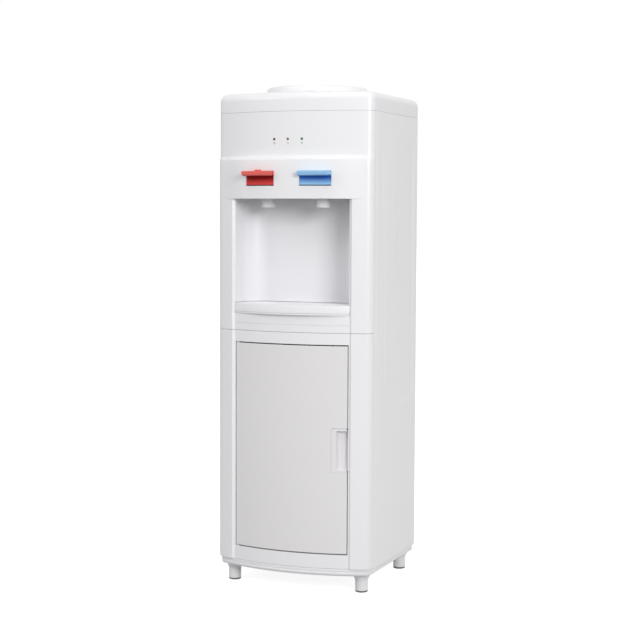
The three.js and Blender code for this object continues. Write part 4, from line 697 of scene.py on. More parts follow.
@dataclass(frozen=True)
class HousingPlan:
    """The housing from above: a convex front, rounded front corners, flat sides and a flat back."""

    half_width: float = cad_box[1].x
    reach: float = 0.1435
    radius: float = 0.379
    corner: float = 0.016
    least: float = 0.0005
    rear: float = 0.141
    rear_corner: float = 0.006
    side_seam: float = 0.096
    channel_half: float = 0.1195
    channel_depth: float = 0.004
    corner_steps: int = 10
    side_steps: int = 3
    rear_steps: int = 5

    @property
    def centre(self) -> float:
        """Where the front arc's centre lies along Y."""
        return self.radius - self.reach

    @property
    def open_half(self) -> float:
        """Half the width of the channel's floor."""
        return self.channel_half - self.channel_depth

    def depth(self, x: np.ndarray | float, forward: np.ndarray | float = 0.0) -> np.ndarray:
        """The front's place along Y: centre - sqrt((radius + forward)^2 - x^2)."""
        return self.centre - np.sqrt((self.radius + forward) ** 2 - np.square(x))

    def corner_at(self, inset: np.ndarray | float, forward: np.ndarray | float) -> tuple:
        """The front corner's arc, which touches the front arc and the side.

        Args:
            inset: how far the plan is moved into the wall.
            forward: how far the front is moved ahead.

        Returns:
            The arc's radius, its centre across and along, and the angle where it meets the front.
        """
        round_ = np.maximum(self.corner - inset, self.least)
        flank = self.half_width - inset - round_
        reach = self.radius + forward - inset - round_
        y = self.centre - np.sqrt(reach**2 - flank**2)
        return round_, flank, y, np.arctan2(y - self.centre, flank)

    def channel(self, x: np.ndarray) -> np.ndarray:
        """How deep the front lies below its skin between the pillars: a bevel of 45 degrees, then a floor."""
        return self.channel_depth * np.clip((self.channel_half - np.abs(x)) / self.channel_depth, 0, 1)

    def wrap(self, xs: np.ndarray, heights: np.ndarray, forward: np.ndarray) -> np.ndarray:
        """A front moulding's skin, from the left side seam round the front to the right one.

        A front column at x lies at depth(x, forward). The corner and side columns of a row follow the
        row's last forward value.

        Args:
            xs: places of the front columns, even about 0.
            heights: heights of the rows.
            forward: how far ahead of the skin each row and column lies.

        Returns:
            Points by row and column.
        """
        ahead = np.broadcast_to(forward, (len(heights), len(xs)))
        z = np.asarray(heights)[:, None]
        front = placed(xs, self.depth(xs, ahead), z)
        round_, flank, y, turn = self.corner_at(0.0, ahead[:, -1:])
        angle = turn * (1 - np.linspace(0, 1, self.corner_steps + 1))
        share = np.linspace(0, 1, self.side_steps + 1)[1:]
        flat = np.full((len(z), self.side_steps), self.half_width)
        side_x = np.concatenate([flank + round_ * np.cos(angle), flat], axis=1)
        side_y = np.concatenate([y + round_ * np.sin(angle),
                                 y * (1 - share) - self.side_seam * share], axis=1)
        right = placed(side_x, side_y, z)
        left = right[:, ::-1] * np.array([-1, 1, 1])
        return np.concatenate([left, front, right], axis=1)

    def rings(self, inset: Sequence[float], forward: float, heights: Sequence[float],
              steps: int) -> np.ndarray:
        """Whole plans of the housing, stacked: front arc, two corners, sides and rear corners.

        Args:
            inset: how far each ring is moved into the wall.
            forward: how far the front is moved ahead.
            heights: the height of each ring.
            steps: runs in the front arc.

        Returns:
            Points by ring and place round it, anticlockwise from above.
        """
        inset = np.asarray(inset, float)[:, None]
        round_, flank, y, turn = self.corner_at(inset, forward)
        start = flank + round_ * np.cos(turn)
        x = start * np.linspace(-1, 1, steps + 1)[1:-1]
        front = (x, self.centre - np.sqrt((self.radius + forward - inset) ** 2 - x**2))
        angle = turn * (1 - np.linspace(0, 1, self.corner_steps + 1))
        corner = (flank + round_ * np.cos(angle), y + round_ * np.sin(angle))
        rear_round = np.maximum(self.rear_corner - inset, self.least)
        angle = np.linspace(0, QUARTER, self.rear_steps + 1)
        rear = (self.half_width - inset - rear_round + rear_round * np.cos(angle),
                self.rear - inset - rear_round + rear_round * np.sin(angle))
        mirrored = [(-x[:, ::-1], y[:, ::-1]) for x, y in (rear, corner)]
        xy = [np.concatenate([part[i] for part in (front, corner, rear, *mirrored)], axis=1) for i in (0, 1)]
        return placed(*xy, np.asarray(heights, float)[:, None])


PLAN = HousingPlan()


def front_skin(name: str, points: np.ndarray, windows: Sequence[tuple[float, ...]], wall: float,
               edge: float, segments: int = 3, angle: float = 40.0) -> Object:
    """A curved front skin with openings, a wall behind its face and eased edges.

    Args:
        name: the piece's name.
        points: points by row and column.
        windows: openings, each as x0, x1, z0, z1; a cell is left out where its middle lies in one.
        wall: how thick the skin is.
        edge: how far its edges are rounded.
        segments: facets in the rounding.
        angle: edges sharper than this, in degrees, are rounded.

    Returns:
        The new object.
    """
    middle = (points[:-1, :-1] + points[1:, 1:]) / 2
    x, y, z = middle[..., 0], middle[..., 1], middle[..., 2]
    keep = np.ones(x.shape, bool)
    for x0, x1, z0, z1 in windows:
        keep &= ~((x > x0) & (x < x1) & (z > z0) & (z < z1) & (y < -PLAN.side_seam))
    piece = Shell().grid(points, keep=keep).build(name, closed=False)
    return eased(walled(piece, wall), edge, segments, angle)


@dataclass
class FrontMouldings:
    """The two front mouldings of the housing, and the jamb round the doorway."""

    shop: Workshop
    wall: float = 2.6 * MM
    edge: float = 0.7 * MM
    doorway_half: float = 0.1138
    doorway: Pair = (0.0726, 0.45975)
    jamb_rear: float = -0.1055
    bay: Pair = (0.5132, 0.726)
    fascia_lead: float = 0.004
    lead_fade: Pair = (0.088, 0.143)
    return_fade: Pair = (0.118, 0.143)
    panel_setback: float = 0.003
    ledge: Pair = (0.7965, 0.8055)
    ledge_rows: int = 12
    fascia_rows: Pair = (0.7385, 0.7625)
    panel_row: float = 0.82
    groove: Pair = (0.4944, 0.4957)
    groove_half: float = 0.113
    groove_depth: float = 0.001
    groove_slope: float = 0.15 * MM
    lever_half: float = 29.85 * MM
    lever_window: Pair = (0.7492, 0.7767)
    column_step: float = 0.005
    row_step: float = 0.05

    def columns(self, *edges: float) -> np.ndarray:
        """Front columns that keep the channel's bevels and the given edges on both sides."""
        kept = [PLAN.open_half, PLAN.channel_half, self.lead_fade[1], *edges]
        return spaced([*kept, *[-k for k in kept], 0.0], self.column_step)

    def lower(self) -> None:
        """The lower moulding: pillars, sill and head round the doorway."""
        low, high = span(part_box("lower_front_panel"))
        xs = self.columns(self.doorway_half)
        heights = spaced([low, *self.doorway, high], self.row_step)
        points = PLAN.wrap(xs, heights, -PLAN.channel(xs)[None, :])
        window = (-self.doorway_half, self.doorway_half, *self.doorway)
        piece = front_skin("lower_front_moulding", points, [window], self.wall, self.edge, angle=30)
        self.shop.dress(piece, "white_abs", nodes=["lower_front_panel"])

    def jamb(self) -> None:
        """The doorway's inner frame: its outline (x, z) carried back from the skin to a flat rear edge."""
        low, high = self.doorway
        half = self.doorway_half
        xs = spaced([-half, half], 0.01)
        zs = spaced([low, high], self.row_step)
        x = np.concatenate([xs, np.full(len(zs) - 1, half), xs[::-1][1:], np.full(len(zs) - 2, -half)])
        z = np.concatenate([np.full(len(xs), low), zs[1:], np.full(len(xs) - 1, high), zs[::-1][1:-1]])
        front = PLAN.depth(x, -PLAN.channel_depth - self.wall / 2)
        rows = np.stack([placed(x, y, z) for y in (front, self.jamb_rear)])
        piece = Shell().grid(rows, around=True).build("doorway_jamb", closed=False)
        self.shop.dress(eased(walled(piece, self.wall), self.edge / 2), "white_abs")

    def bay_surround(self) -> None:
        """Pillars and apron round the dispensing bay, with the apron's shadow groove between two slopes."""
        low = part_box("upper_front_panel")[0].z
        bottom, top = self.groove
        slope = self.groove_slope
        xs = self.columns(self.groove_half, self.groove_half - slope)
        heights = spaced([low, bottom, bottom + slope, top - slope, top, *self.bay], self.row_step)
        across = np.clip((self.groove_half - np.abs(xs)) / slope, 0, 1)
        up = np.clip(np.minimum(heights - bottom, top - heights) / slope, 0, 1)
        forward = -PLAN.channel(xs)[None, :] - self.groove_depth * across[None, :] * up[:, None]
        window = (-PLAN.open_half, PLAN.open_half, *self.bay)
        points = PLAN.wrap(xs, heights, forward)
        piece = front_skin("bay_surround", points, [window], self.wall, self.edge / 2)
        self.shop.dress(piece, "white_abs", nodes=["upper_front_panel"])

    def fascia(self) -> None:
        """Fascia, soft ledge and control panel.

        They lie ahead of the housing's arc by lead - (lead + setback) s(t), with t up the ledge. The lead
        fades out towards the corners. The first row returns under the fascia towards the bay, less and
        less towards the corners, and two windows are left for the levers.
        """
        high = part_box("upper_front_panel")[1].z
        foot, half = self.bay[1], self.lever_half
        fascia_rows = spaced([*self.lever_window, *self.fascia_rows], 0.02)
        ledge_rows = np.linspace(*self.ledge, self.ledge_rows)
        panel_rows = spaced([self.panel_row, high], 0.03)
        heights = np.concatenate([[foot, foot], fascia_rows, ledge_rows, panel_rows])
        drop = smooth((heights - self.ledge[0]) / (self.ledge[1] - self.ledge[0]))
        xs = self.columns(TAP_X - half, TAP_X + half)
        lead, back = (1 - smooth((np.abs(xs) - start) / (end - start))
                      for start, end in (self.lead_fade, self.return_fade))
        lead *= self.fascia_lead
        forward = lead[None, :] - (lead[None, :] + self.panel_setback) * drop[:, None]
        forward[0] -= (lead + PLAN.channel_depth + self.wall) * back
        windows = [(x - half, x + half, *self.lever_window) for x in (-TAP_X, TAP_X)]
        points = PLAN.wrap(xs, heights, forward)
        piece = front_skin("fascia_and_control_panel", points, windows, self.wall, self.edge * 0.4)
        self.shop.dress(piece, "white_abs", nodes=["upper_front_panel"])

    def build(self) -> None:
        """Makes all front mouldings."""
        self.lower()
        self.jamb()
        self.bay_surround()
        self.fascia()


@dataclass
class TopCover:
    """The lid with its rounded shoulder and low crown, the bottle collar in it and the water guard."""

    shop: Workshop
    setback: float = 0.003
    wall: float = 2.6 * MM
    seam_step: float = 0.2 * MM
    skirt_top: float = 0.9055
    shoulder: float = 0.015
    crown_radius: float = 0.1205
    crown_inner: float = 0.0958
    crown_rise: float = 0.0035
    collar_hole: float = 0.08755
    hole_depth: float = 0.004
    collar_wall: float = 2.5 * MM
    collar_outer: float = 0.0955
    rim_round: float = 5.0 * MM
    mouth_round: float = 3.0 * MM
    mouth: float = 0.085
    neck: float = 0.0302
    neck_top: float = 0.893
    spigot: float = 0.0872
    flange: float = 0.062

    def cover(self) -> None:
        """Skirt, shoulder and crown as stacked rings.

        The shoulder is inset r (1 - cos a) at height r sin a. Beyond it the ring turns from the plan into
        a circle, point by point, and climbs to the collar along a quarter cosine.
        """
        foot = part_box("top_cover")[0].z
        step = self.seam_step
        angle = np.linspace(0, QUARTER, 14)
        inset = [step, step, 0.0, *(self.shoulder * (1 - np.cos(angle)))]
        heights = [foot, foot + step, foot + step * 1.5, *(self.skirt_top + self.shoulder * np.sin(angle))]
        rings = PLAN.rings(inset, -self.setback, heights, steps=60)
        plan, rim = rings[-1][:, :2], rings[-1][0, 2]
        bearing = np.arctan2(plan[:, 1], plan[:, 0])
        circle = np.column_stack([np.cos(bearing), np.sin(bearing)])
        rows = [(plan * (1 - t) + circle * self.crown_radius * t, rim) for t in np.linspace(0.15, 1.0, 6)]
        rows += [(circle * (self.crown_radius + (self.crown_inner - self.crown_radius) * t),
                  rim + self.crown_rise * np.sin(t * QUARTER)) for t in np.linspace(0.1, 1.0, 9)]
        hole, top = circle * self.collar_hole, rim + self.crown_rise
        rows += [(hole, top), (hole, top - self.hole_depth)]
        points = np.concatenate([rings, stacked(rows)])
        piece = Shell().grid(points, around=True).build("top_cover_shell", closed=False)
        eased(walled(piece, self.wall, even=False), 0.2 * MM, angle=40)
        self.shop.dress(piece, "white_abs", nodes=["top_cover"])

    def collar(self) -> None:
        """The bottle collar as one turned profile: rolled rim, cone, neck and the foot in the cold tank."""
        foot, top = span(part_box("bottle_collar"))
        wall, neck, spigot = self.collar_wall, self.neck, self.spigot
        slope = (top - self.neck_top) / (self.mouth - neck)
        drop = wall * np.hypot(1, slope)
        near, far = (self.neck_top + (radius - neck) * slope - drop
                     for radius in (neck + wall, spigot - wall))
        rim_foot, outer, inner = top - 10.7 * MM, self.rim_round, self.mouth_round
        rim = arc_points((self.collar_outer - outer, top - outer), outer, 0, QUARTER, 8)
        inner_rim = arc_points((self.mouth + inner + 0.5 * MM, top - inner), inner, QUARTER, np.pi * 0.82, 5)
        throat = [(neck + 0.003, self.neck_top + 0.003 * slope), (neck + 0.0008, self.neck_top),
                  (neck, self.neck_top - 0.0025)]
        seat, bore = foot + 0.0163, neck - 3.2 * MM
        profile = [(bore, foot), (neck + wall, foot), (neck + wall, seat), (self.flange, seat),
                   (self.flange, seat + wall), (neck + wall, seat + wall), (neck + wall, near),
                   (spigot - wall, far), (spigot - wall, rim_foot - 0.005), (spigot, rim_foot - 0.005),
                   (spigot, rim_foot), (self.collar_outer, rim_foot), *rim, *inner_rim, *throat,
                   (neck, foot + wall), (bore, foot + wall), (bore, foot)]
        piece = revolved("bottle_collar_ring", profile, (0, 0, 0), sides=112)
        self.shop.dress(eased(piece, 0.3 * MM, segments=2, angle=40), "white_abs", nodes=["bottle_collar"])

    def guard(self) -> None:
        """The guard disc with its feed spike: a turned grid with four windows and four slots left out."""
        low, high = span(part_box("water_guard"))
        bore, spike, disc, thick = 0.0085, 0.011, 0.02985, 0.0028
        window = (0.0165, 0.0245)
        slot = (0.8875, 0.9025)
        tip = [(spike, 0.905), (0.0106, 0.9085), (0.0078, 0.9155), (0.0052, 0.9205), (0.0038, 0.9217),
               (0, high)]
        profile = [(bore, low), *[(r, low) for r in (*window, disc)],
                   *[(r, low + thick) for r in (disc, *window[::-1], spike)],
                   *[(spike, z) for z in slot], *tip, (0, 0.9195), *[(bore, z) for z in slot[::-1]],
                   (bore, low)]
        window_runs, slot_runs, sides = (1, 5), (8, 17), 96
        middle = ((np.arange(sides) + 0.5) * TURN / sides) % QUARTER
        pierced = np.minimum(middle, QUARTER - middle) < np.radians(24)
        keep = np.ones((len(profile) - 1, sides), bool)
        keep[[*window_runs, *slot_runs]] = ~pierced
        piece = revolved("water_guard_spike", profile, (0, 0, 0), sides=sides, keep=keep)
        self.shop.dress(piece, "inner_abs", nodes=["water_guard"])

    def build(self) -> None:
        """Makes the cover, the collar and the guard."""
        self.cover()
        self.collar()
        self.guard()


@dataclass
class SidePanels:
    """The pressed sheets at both sides, with a recessed field, two flutes and a hem along the foot."""

    shop: Workshop
    sheet: float = 1.2 * MM
    face: float = 0.155
    field: tuple[float, float, float, float] = (0.022, 0.118, 0.338, 0.838)
    field_depth: float = 1.4 * MM
    lower_round: float = 0.03
    upper_round: float = 0.004
    slope: float = 7.0 * MM
    curved: float = 0.034
    flutes: Pair = (-0.062, -0.046)
    flute_half: float = 4.0 * MM
    flute_depth: float = 0.6 * MM
    fade: float = 0.045
    rear_fold: float = 0.010
    rest: float = 0.25 * MM

    def relief(self, y: np.ndarray, z: np.ndarray) -> np.ndarray:
        """How deep the sheet is pressed at a place.

        The field's edge is the distance to a box with rounded lower corners, and the depth follows the
        smooth curve across the slope. A flute is a cosine trough across y. All fade out upwards.

        Args:
            y: places along the depth of the housing.
            z: heights.

        Returns:
            Depths below the sheet's face.
        """
        y0, y1, z0, z1 = self.field
        dy, dz = np.abs(y - (y0 + y1) / 2), np.abs(z - (z0 + z1) / 2)
        round_ = np.where(z < (z0 + z1) / 2, self.lower_round, self.upper_round)
        qy, qz = dy - (y1 - y0) / 2 + round_, dz - (z1 - z0) / 2 + round_
        distance = np.hypot(np.maximum(qy, 0), np.maximum(qz, 0)) + np.minimum(np.maximum(qy, qz), 0) - round_
        depth = self.field_depth * smooth(-distance / self.slope)
        for place in self.flutes:
            across = np.clip(np.abs(y - place) / self.flute_half, 0, 1)
            depth = depth + self.flute_depth * (1 + np.cos(np.pi * across)) / 2 * smooth((z - z0) / self.fade)
        return depth * smooth((z1 - z) / self.fade)

    def panel(self, side: int, node: str) -> None:
        """One panel: a front flange, the pressed face, the rear corner and the rear fold.

        Args:
            side: -1 for left and 1 for right.
            node: the CAD node that it stands for.
        """
        low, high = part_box(node)
        y0, y1, z0, z1 = self.field
        face, slope, rear_round = self.face, self.slope, PLAN.rear_corner
        flutes = [y for place in self.flutes
                  for y in spaced([place - self.flute_half, place + self.flute_half], 0.0008)]
        slopes = [*spaced([y0, y0 + slope], 0.0007), *spaced([y1 - slope, y1], 0.0007)]
        curves = [*spaced([y0 + slope, y0 + self.curved], 0.002),
                  *spaced([y1 - self.curved, y1 - slope], 0.002)]
        ys = spaced([low.y + self.sheet, *flutes, *slopes, *curves, high.y - rear_round], 0.02)
        fades = [*spaced([z0 - 0.001, z0 + self.fade], 0.0015), *spaced([z1 - self.fade, z1], 0.003)]
        zs = spaced([low.z, *fades, high.z], 0.04)
        field = placed(face - self.relief(ys[None, :], zs[:, None]), ys, zs[:, None])
        corner = arc_points((face - rear_round, high.y - rear_round), rear_round, 0, QUARTER, 8)[1:]
        tail = np.concatenate([corner, [[face - self.rear_fold, high.y]]])
        fold = np.array([(face - self.rear_fold, low.y), (face - 1.0 * MM, low.y),
                         (face - 0.3 * MM, low.y + 0.3 * MM)])
        fold, tail = (stacked([(plan, z) for z in zs]) for plan in (fold, tail))
        points = np.concatenate([fold, field, tail], axis=1) * np.array([side, 1, 1])
        piece = Shell().grid(points, flip=side < 0).build(f"{node}_sheet", closed=False)
        eased(walled(piece, self.sheet), 0.3 * MM, segments=2, angle=40)
        self.shop.dress(piece, "painted_sheet", nodes=[node])

    def hem(self, side: int, node: str) -> None:
        """The sheet's lower edge, turned inwards and flat on the base tray's rim.

        Args:
            side: -1 for left and 1 for right.
            node: the panel's CAD node.
        """
        low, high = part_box(node)
        inner, outer = sorted((side * (self.face - self.rear_fold), side * (self.face - self.sheet / 2)))
        shell = slab(Shell(), (inner, low.y + 3 * MM, low.z - self.rest),
                     (outer, high.y - PLAN.rear_corner, low.z + self.sheet))
        self.shop.dress(shell.build(f"{node}_hem"), "painted_sheet")

    def build(self) -> None:
        """Makes both panels with their hems."""
        for side, node in ((-1, "side_panel_left"), (1, "side_panel_right")):
            self.panel(side, node)
            self.hem(side, node)


@dataclass
class Base:
    """The base tray and the four feet with their pads."""

    shop: Workshop
    inset: float = 3.5 * MM
    foot_inset: float = 8.0 * MM
    rim: float = 4.0 * MM
    floor: float = 3.0 * MM
    height: float = 13.6 * MM
    leg_foot: float = 3.1 * MM
    leg_top: float = 0.0327
    leg_radius: float = 0.012
    pad_top: float = 2.7 * MM
    pad_radius: float = 0.0115
    flare: float = 0.005
    flare_height: float = 0.013

    def tray(self) -> None:
        """The pan as stacked rings: a flared foot, a bead, a shadow line and the inner wall and floor."""
        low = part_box("base_tray")[0].z
        top = low + self.height
        shares = np.array([[1, 0], [0.62, 0.04], [0.18, 0.2], [0, 0.34], [0, 0.5], [0.3, 0.56], [0.3, 0.62],
                           [0, 0.68], [0, 1.0]])
        inset = self.inset + (self.foot_inset - self.inset) * shares[:, 0]
        heights = low + (top - low) * shares[:, 1]
        inner = [self.inset + self.rim] * 2
        rings = PLAN.rings([*inset, *inner], 0.0, [*heights, top, low + self.floor], steps=60)
        shell = Shell().grid(rings, around=True).cap(rings[0], flip=True).cap(rings[-1])
        piece = eased(shell.build("base_pan"), 0.5 * MM, angle=35)
        self.shop.dress(piece, "white_abs", nodes=["base_tray"])

    def foot(self, place: str) -> None:
        """One foot, whose upper end flares along a cosine into the pan, and its rubber pad.

        Args:
            place: the foot's place in the names of its nodes.
        """
        low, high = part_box(f"foot_{place}")
        axis = ((low.x + high.x) / 2, (low.y + high.y) / 2, 0)
        share = np.linspace(0, 1, 12)
        flare = np.column_stack([self.leg_radius + self.flare * (1 - np.cos(share * QUARTER)),
                                 self.leg_top - self.flare_height * (1 - share)])
        foot, radius = self.leg_foot, self.leg_radius
        profile = [(0, foot), (radius - 0.8 * MM, foot), (radius - 0.3 * MM, foot + 0.5 * MM), *flare,
                   (0, self.leg_top)]
        piece = eased(revolved(f"leg_{place}", profile, axis, sides=56), 0.3 * MM, segments=2, angle=40)
        self.shop.dress(piece, "white_abs", nodes=[f"foot_{place}"])
        top, radius = self.pad_top, self.pad_radius
        profile = [(0, 0), (radius - 1.3 * MM, 0), (radius - 0.4 * MM, 0.4 * MM), (radius, 1.2 * MM),
                   (radius, top), (0, top)]
        piece = revolved(f"leg_pad_{place}", profile, axis)
        self.shop.dress(piece, "pad_rubber", nodes=[f"foot_pad_{place}"])

    def build(self) -> None:
        """Makes the tray and all feet."""
        self.tray()
        for place in ("front_left", "front_right", "rear_left", "rear_right"):
            self.foot(place)


# Door


@dataclass
class Door:
    """The cabinet door: its curved leaf with a deep rim, and the handle insert at its free edge."""

    shop: Workshop
    skin: float = 3.0 * MM
    rim: float = 7.0 * MM
    rim_gap: float = 0.15 * MM
    depth: float = 12.0 * MM
    handle_width: float = 28.0 * MM
    handle: Pair = (0.2254, 0.3064)
    frame_width: float = 8.6 * MM
    frame_border: float = 3.8 * MM
    gap: float = 0.2 * MM
    pocket_depth: float = 10.6 * MM
    insert_wall: float = 1.8 * MM
    edge: float = 1.1 * MM

    def leaf(self) -> None:
        """The curved skin: a grid on the channel's floor arc with the handle's place left out."""
        low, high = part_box("door")
        inner = high.x - self.handle_width
        xs = spaced([low.x, inner, high.x], 0.005)
        zs = spaced([low.z, *self.handle, high.z], 0.05)
        points = placed(xs, PLAN.depth(xs, -PLAN.channel_depth), zs[:, None])
        window = (inner, high.x + 1, *self.handle)
        piece = front_skin("door_leaf", points, [window], self.skin, self.edge, segments=4)
        self.shop.dress(piece, "door_abs", "door", ["door"])

    def rim_bars(self) -> None:
        """The deep rim behind the skin, in curved bars round the leaf."""
        low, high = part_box("door")
        gap = self.rim_gap
        x0, x1, z0, z1 = low.x + gap, high.x - gap, low.z + gap, high.z - gap
        outer, inner = PLAN.channel_depth + self.skin - 0.4 * MM, PLAN.channel_depth + self.depth
        left, right = x0 + self.rim, x1 - self.rim
        bars = {
            "left": (x0, left, z0, z1),
            "top": (left, right, z1 - self.rim, z1),
            "bottom": (left, right, z0, z0 + self.rim),
            "right_low": (right, x1, z0, self.handle[0] - self.gap),
            "right_high": (right, x1, self.handle[1] + self.gap, z1),
        }
        for name, (start, end, foot, top) in bars.items():
            xs = spaced([start, end], 0.006)
            outline = np.concatenate([np.column_stack([xs, PLAN.depth(xs, -outer)]),
                                      np.column_stack([xs, PLAN.depth(xs, -inner)])[::-1]])
            piece = prism(Shell(), outline, foot, top).build(f"door_rim_{name}")
            self.shop.dress(eased(piece, 0.4 * MM, segments=2), "door_abs", "door")

    def insert(self) -> None:
        """The handle insert: a border flush with the leaf, and a pocket open towards the free edge.

        Across x the pocket's wall goes from the border's edge down a short curve to the back wall, and
        up z it falls over a lip at either end.
        """
        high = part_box("door")[1]
        left = high.x - self.handle_width + self.gap
        pocket_x = left + self.frame_width
        low_z, high_z = self.handle[0] + self.gap, self.handle[1] - self.gap
        foot, top = low_z + self.frame_border, high_z - self.frame_border
        run = np.array([0.0, 0.2, 1.2, 2.4, 3.2]) * MM
        fall = np.array([0.0, 0.55, 0.93, 1.0, 1.0])
        xs = np.concatenate([spaced([left, pocket_x], 0.004), pocket_x + run[1:],
                             spaced([pocket_x + 0.006, high.x], 0.005)])
        down_x = np.interp(xs, pocket_x + run, fall, left=0.0, right=1.0)
        lip, bend = 0.3 * MM, 1.4 * MM
        zs = np.array([low_z, (low_z + foot) / 2, foot, foot + lip, foot + bend, (foot + top) / 2,
                       top - bend, top - lip, top, (high_z + top) / 2, high_z])
        down_z = np.array([0, 0, 0, 0.9, 1, 1, 1, 0.9, 0, 0, 0.0])
        down = down_z[:, None] * down_x[None, :] * self.pocket_depth
        points = placed(xs, PLAN.depth(xs, -PLAN.channel_depth - down), zs[:, None])
        piece = Shell().grid(points).build("handle_insert", closed=False)
        eased(walled(piece, self.insert_wall), 0.6 * MM, angle=35)
        self.shop.dress(piece, "handle_abs", "door", ["door_handle_insert"])

    def build(self) -> None:
        """Makes the leaf, its rim and the handle."""
        self.leaf()
        self.rim_bars()
        self.insert()


# Dispensing bay


@dataclass
class DispensingBay:
    """The bay liner with wide rear corners, a dark plate of painted shade under its top, the drip tray with
    its bowed front, and the grille.
    """

    shop: Workshop
    spare: float = 0.3 * MM
    rear: float = -0.050
    round_: float = 0.040
    apex: float = 0.146
    wall: float = 3.0 * MM
    running: float = 0.35 * MM
    skin: float = 2.2 * MM
    liner_wall: float = 1.8 * MM
    front_gap: float = 2.9 * MM
    slot: float = 2.0 * MM
    slot_depth: float = 2.4 * MM
    ledge_drop: float = 2.9 * MM
    ledge_width: float = 2.4 * MM
    bow_steps: int = 48
    lip_height: float = 4.0 * MM
    grille_frame: float = 7.0 * MM
    bars: int = 15
    bar_half: float = 1.1 * MM
    rib_half: float = 2.0 * MM
    rib_places: Pair = (-0.036, 0.036)

    def liner_plan(self, outset: float) -> np.ndarray:
        """The liner's plan: straight sides that reach the pillars, and wide rear corners.

        Args:
            outset: how far the plan is moved outwards.

        Returns:
            The open outline, from the right front to the left front.
        """
        half = PLAN.open_half + self.spare + outset
        front = float(PLAN.depth(PLAN.open_half, -PLAN.channel_depth - self.spare))
        rear, r = self.rear + outset, self.round_ + outset
        side = np.linspace(front, rear - r, 5)
        return np.concatenate([
            np.column_stack([np.full(5, half), side])[:-1],
            arc_points((half - r, rear - r), r, 0, QUARTER, 16),
            arc_points((r - half, rear - r), r, QUARTER, np.pi, 16),
            np.column_stack([np.full(5, -half), side[::-1]])[1:],
        ])

    def with_front(self, plan: np.ndarray) -> np.ndarray:
        """A liner's plan closed along the front, on an arc just behind the housing's skin.

        Args:
            plan: the open plan.

        Returns:
            The closed outline.
        """
        edge = np.linspace(plan[-1, 0], plan[0, 0], 41)[1:-1]
        front = PLAN.depth(edge, -PLAN.channel_depth - self.front_gap)
        return np.concatenate([plan, np.column_stack([edge, front])])

    def liner(self) -> None:
        """The liner's inner face: up its plan, over a shadow slot at the tray, closed below and above."""
        low, high = span(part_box("recess_liner"))
        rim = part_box("drip_tray")[1].z
        inner, outer = self.liner_plan(0.0), self.liner_plan(self.slot_depth)
        floor, ceiling, slot_top = low + self.skin, high - self.skin, rim + self.slot
        rows = [(outer, floor), (outer, slot_top), (inner, slot_top), (inner, slot_top + 0.4 * MM),
                (inner, (rim + ceiling) / 2), (inner, ceiling)]
        shell = Shell().grid(stacked(rows))
        for plan, z, flip in ((outer, floor, False), (inner, ceiling, True)):
            shell.cap(stacked([(self.with_front(plan), z)])[0], flip=flip)
        piece = shell.build("bay_liner_shell", closed=False)
        eased(walled(piece, self.liner_wall, even=False), 0.3 * MM, segments=2, angle=50)
        self.shop.dress(piece, "inner_abs", nodes=["recess_liner"])

    def shade(self) -> None:
        """A dark plate of painted shade under the liner's top, put where the top of the bay lies in shadow;
        the nozzles hang through it.
        """
        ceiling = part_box("recess_liner")[1].z - self.skin
        outline = self.with_front(self.liner_plan(-self.spare))
        piece = prism(Shell(), outline, ceiling - 0.9 * MM, ceiling - 0.1 * MM).build("bay_shade")
        self.shop.dress(piece, "shade_abs")

    def tray_plan(self, inset: float) -> np.ndarray:
        """The tray's plan: a front arc through its apex and corners, straight sides and round rear corners.

        Args:
            inset: how far the plan is moved inwards.

        Returns:
            The closed outline, which starts with the bowed front from left to right.
        """
        half = PLAN.open_half - self.running
        bow = self.apex + float(PLAN.depth(half, -PLAN.channel_depth))
        radius = (half**2 + bow**2) / (2 * bow)
        centre = radius - self.apex
        side, rear = half - inset, self.rear - self.running - inset
        r = self.round_ - self.running - inset
        x = np.linspace(-side, side, self.bow_steps + 1)
        front = np.column_stack([x, centre - np.sqrt((radius - inset) ** 2 - x**2)])
        return np.concatenate([front, arc_points((side - r, rear - r), r, 0, QUARTER, 12),
                               arc_points((r - side, rear - r), r, QUARTER, np.pi, 12)])

    def tray(self) -> None:
        """The tray as stacked plans: outside up, over a rounded rim, down to the ledge and the floor."""
        low, high = span(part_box("drip_tray"))
        foot, ledge, well = low + 2.5 * MM, high - self.ledge_drop, self.wall + self.ledge_width
        stack = [(0.0, foot), (0.0, high - 1.2 * MM), (0.35 * MM, high - 0.35 * MM), (1.2 * MM, high),
                 (self.wall - 0.3 * MM, high), (self.wall, high - 0.3 * MM), (self.wall, ledge),
                 (well, ledge), (well, foot + 2.0 * MM)]
        rings = stacked([(self.tray_plan(inset), z) for inset, z in stack])
        shell = Shell().grid(rings, around=True).cap(rings[0], flip=True).cap(rings[-1])
        piece = eased(shell.build("drip_tray_bowl"), 0.3 * MM, segments=2, angle=50)
        self.shop.dress(piece, "white_abs", "drip_tray", ["drip_tray"])

    def lip(self) -> None:
        """The tray's drop lip in front of the apron, a band under the bowed front."""
        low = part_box("drip_tray")[0].z
        outer, inner = (self.tray_plan(inset)[:self.bow_steps + 1] for inset in (0.0, 2.4 * MM))
        clear = outer[:, 1] < PLAN.depth(PLAN.open_half, -PLAN.channel_depth) + self.running
        outline = np.concatenate([outer[clear], inner[clear][::-1]])
        piece = prism(Shell(), outline, low, low + self.lip_height).build("drip_tray_lip")
        self.shop.dress(eased(piece, 0.4 * MM, segments=2), "white_abs", "drip_tray")

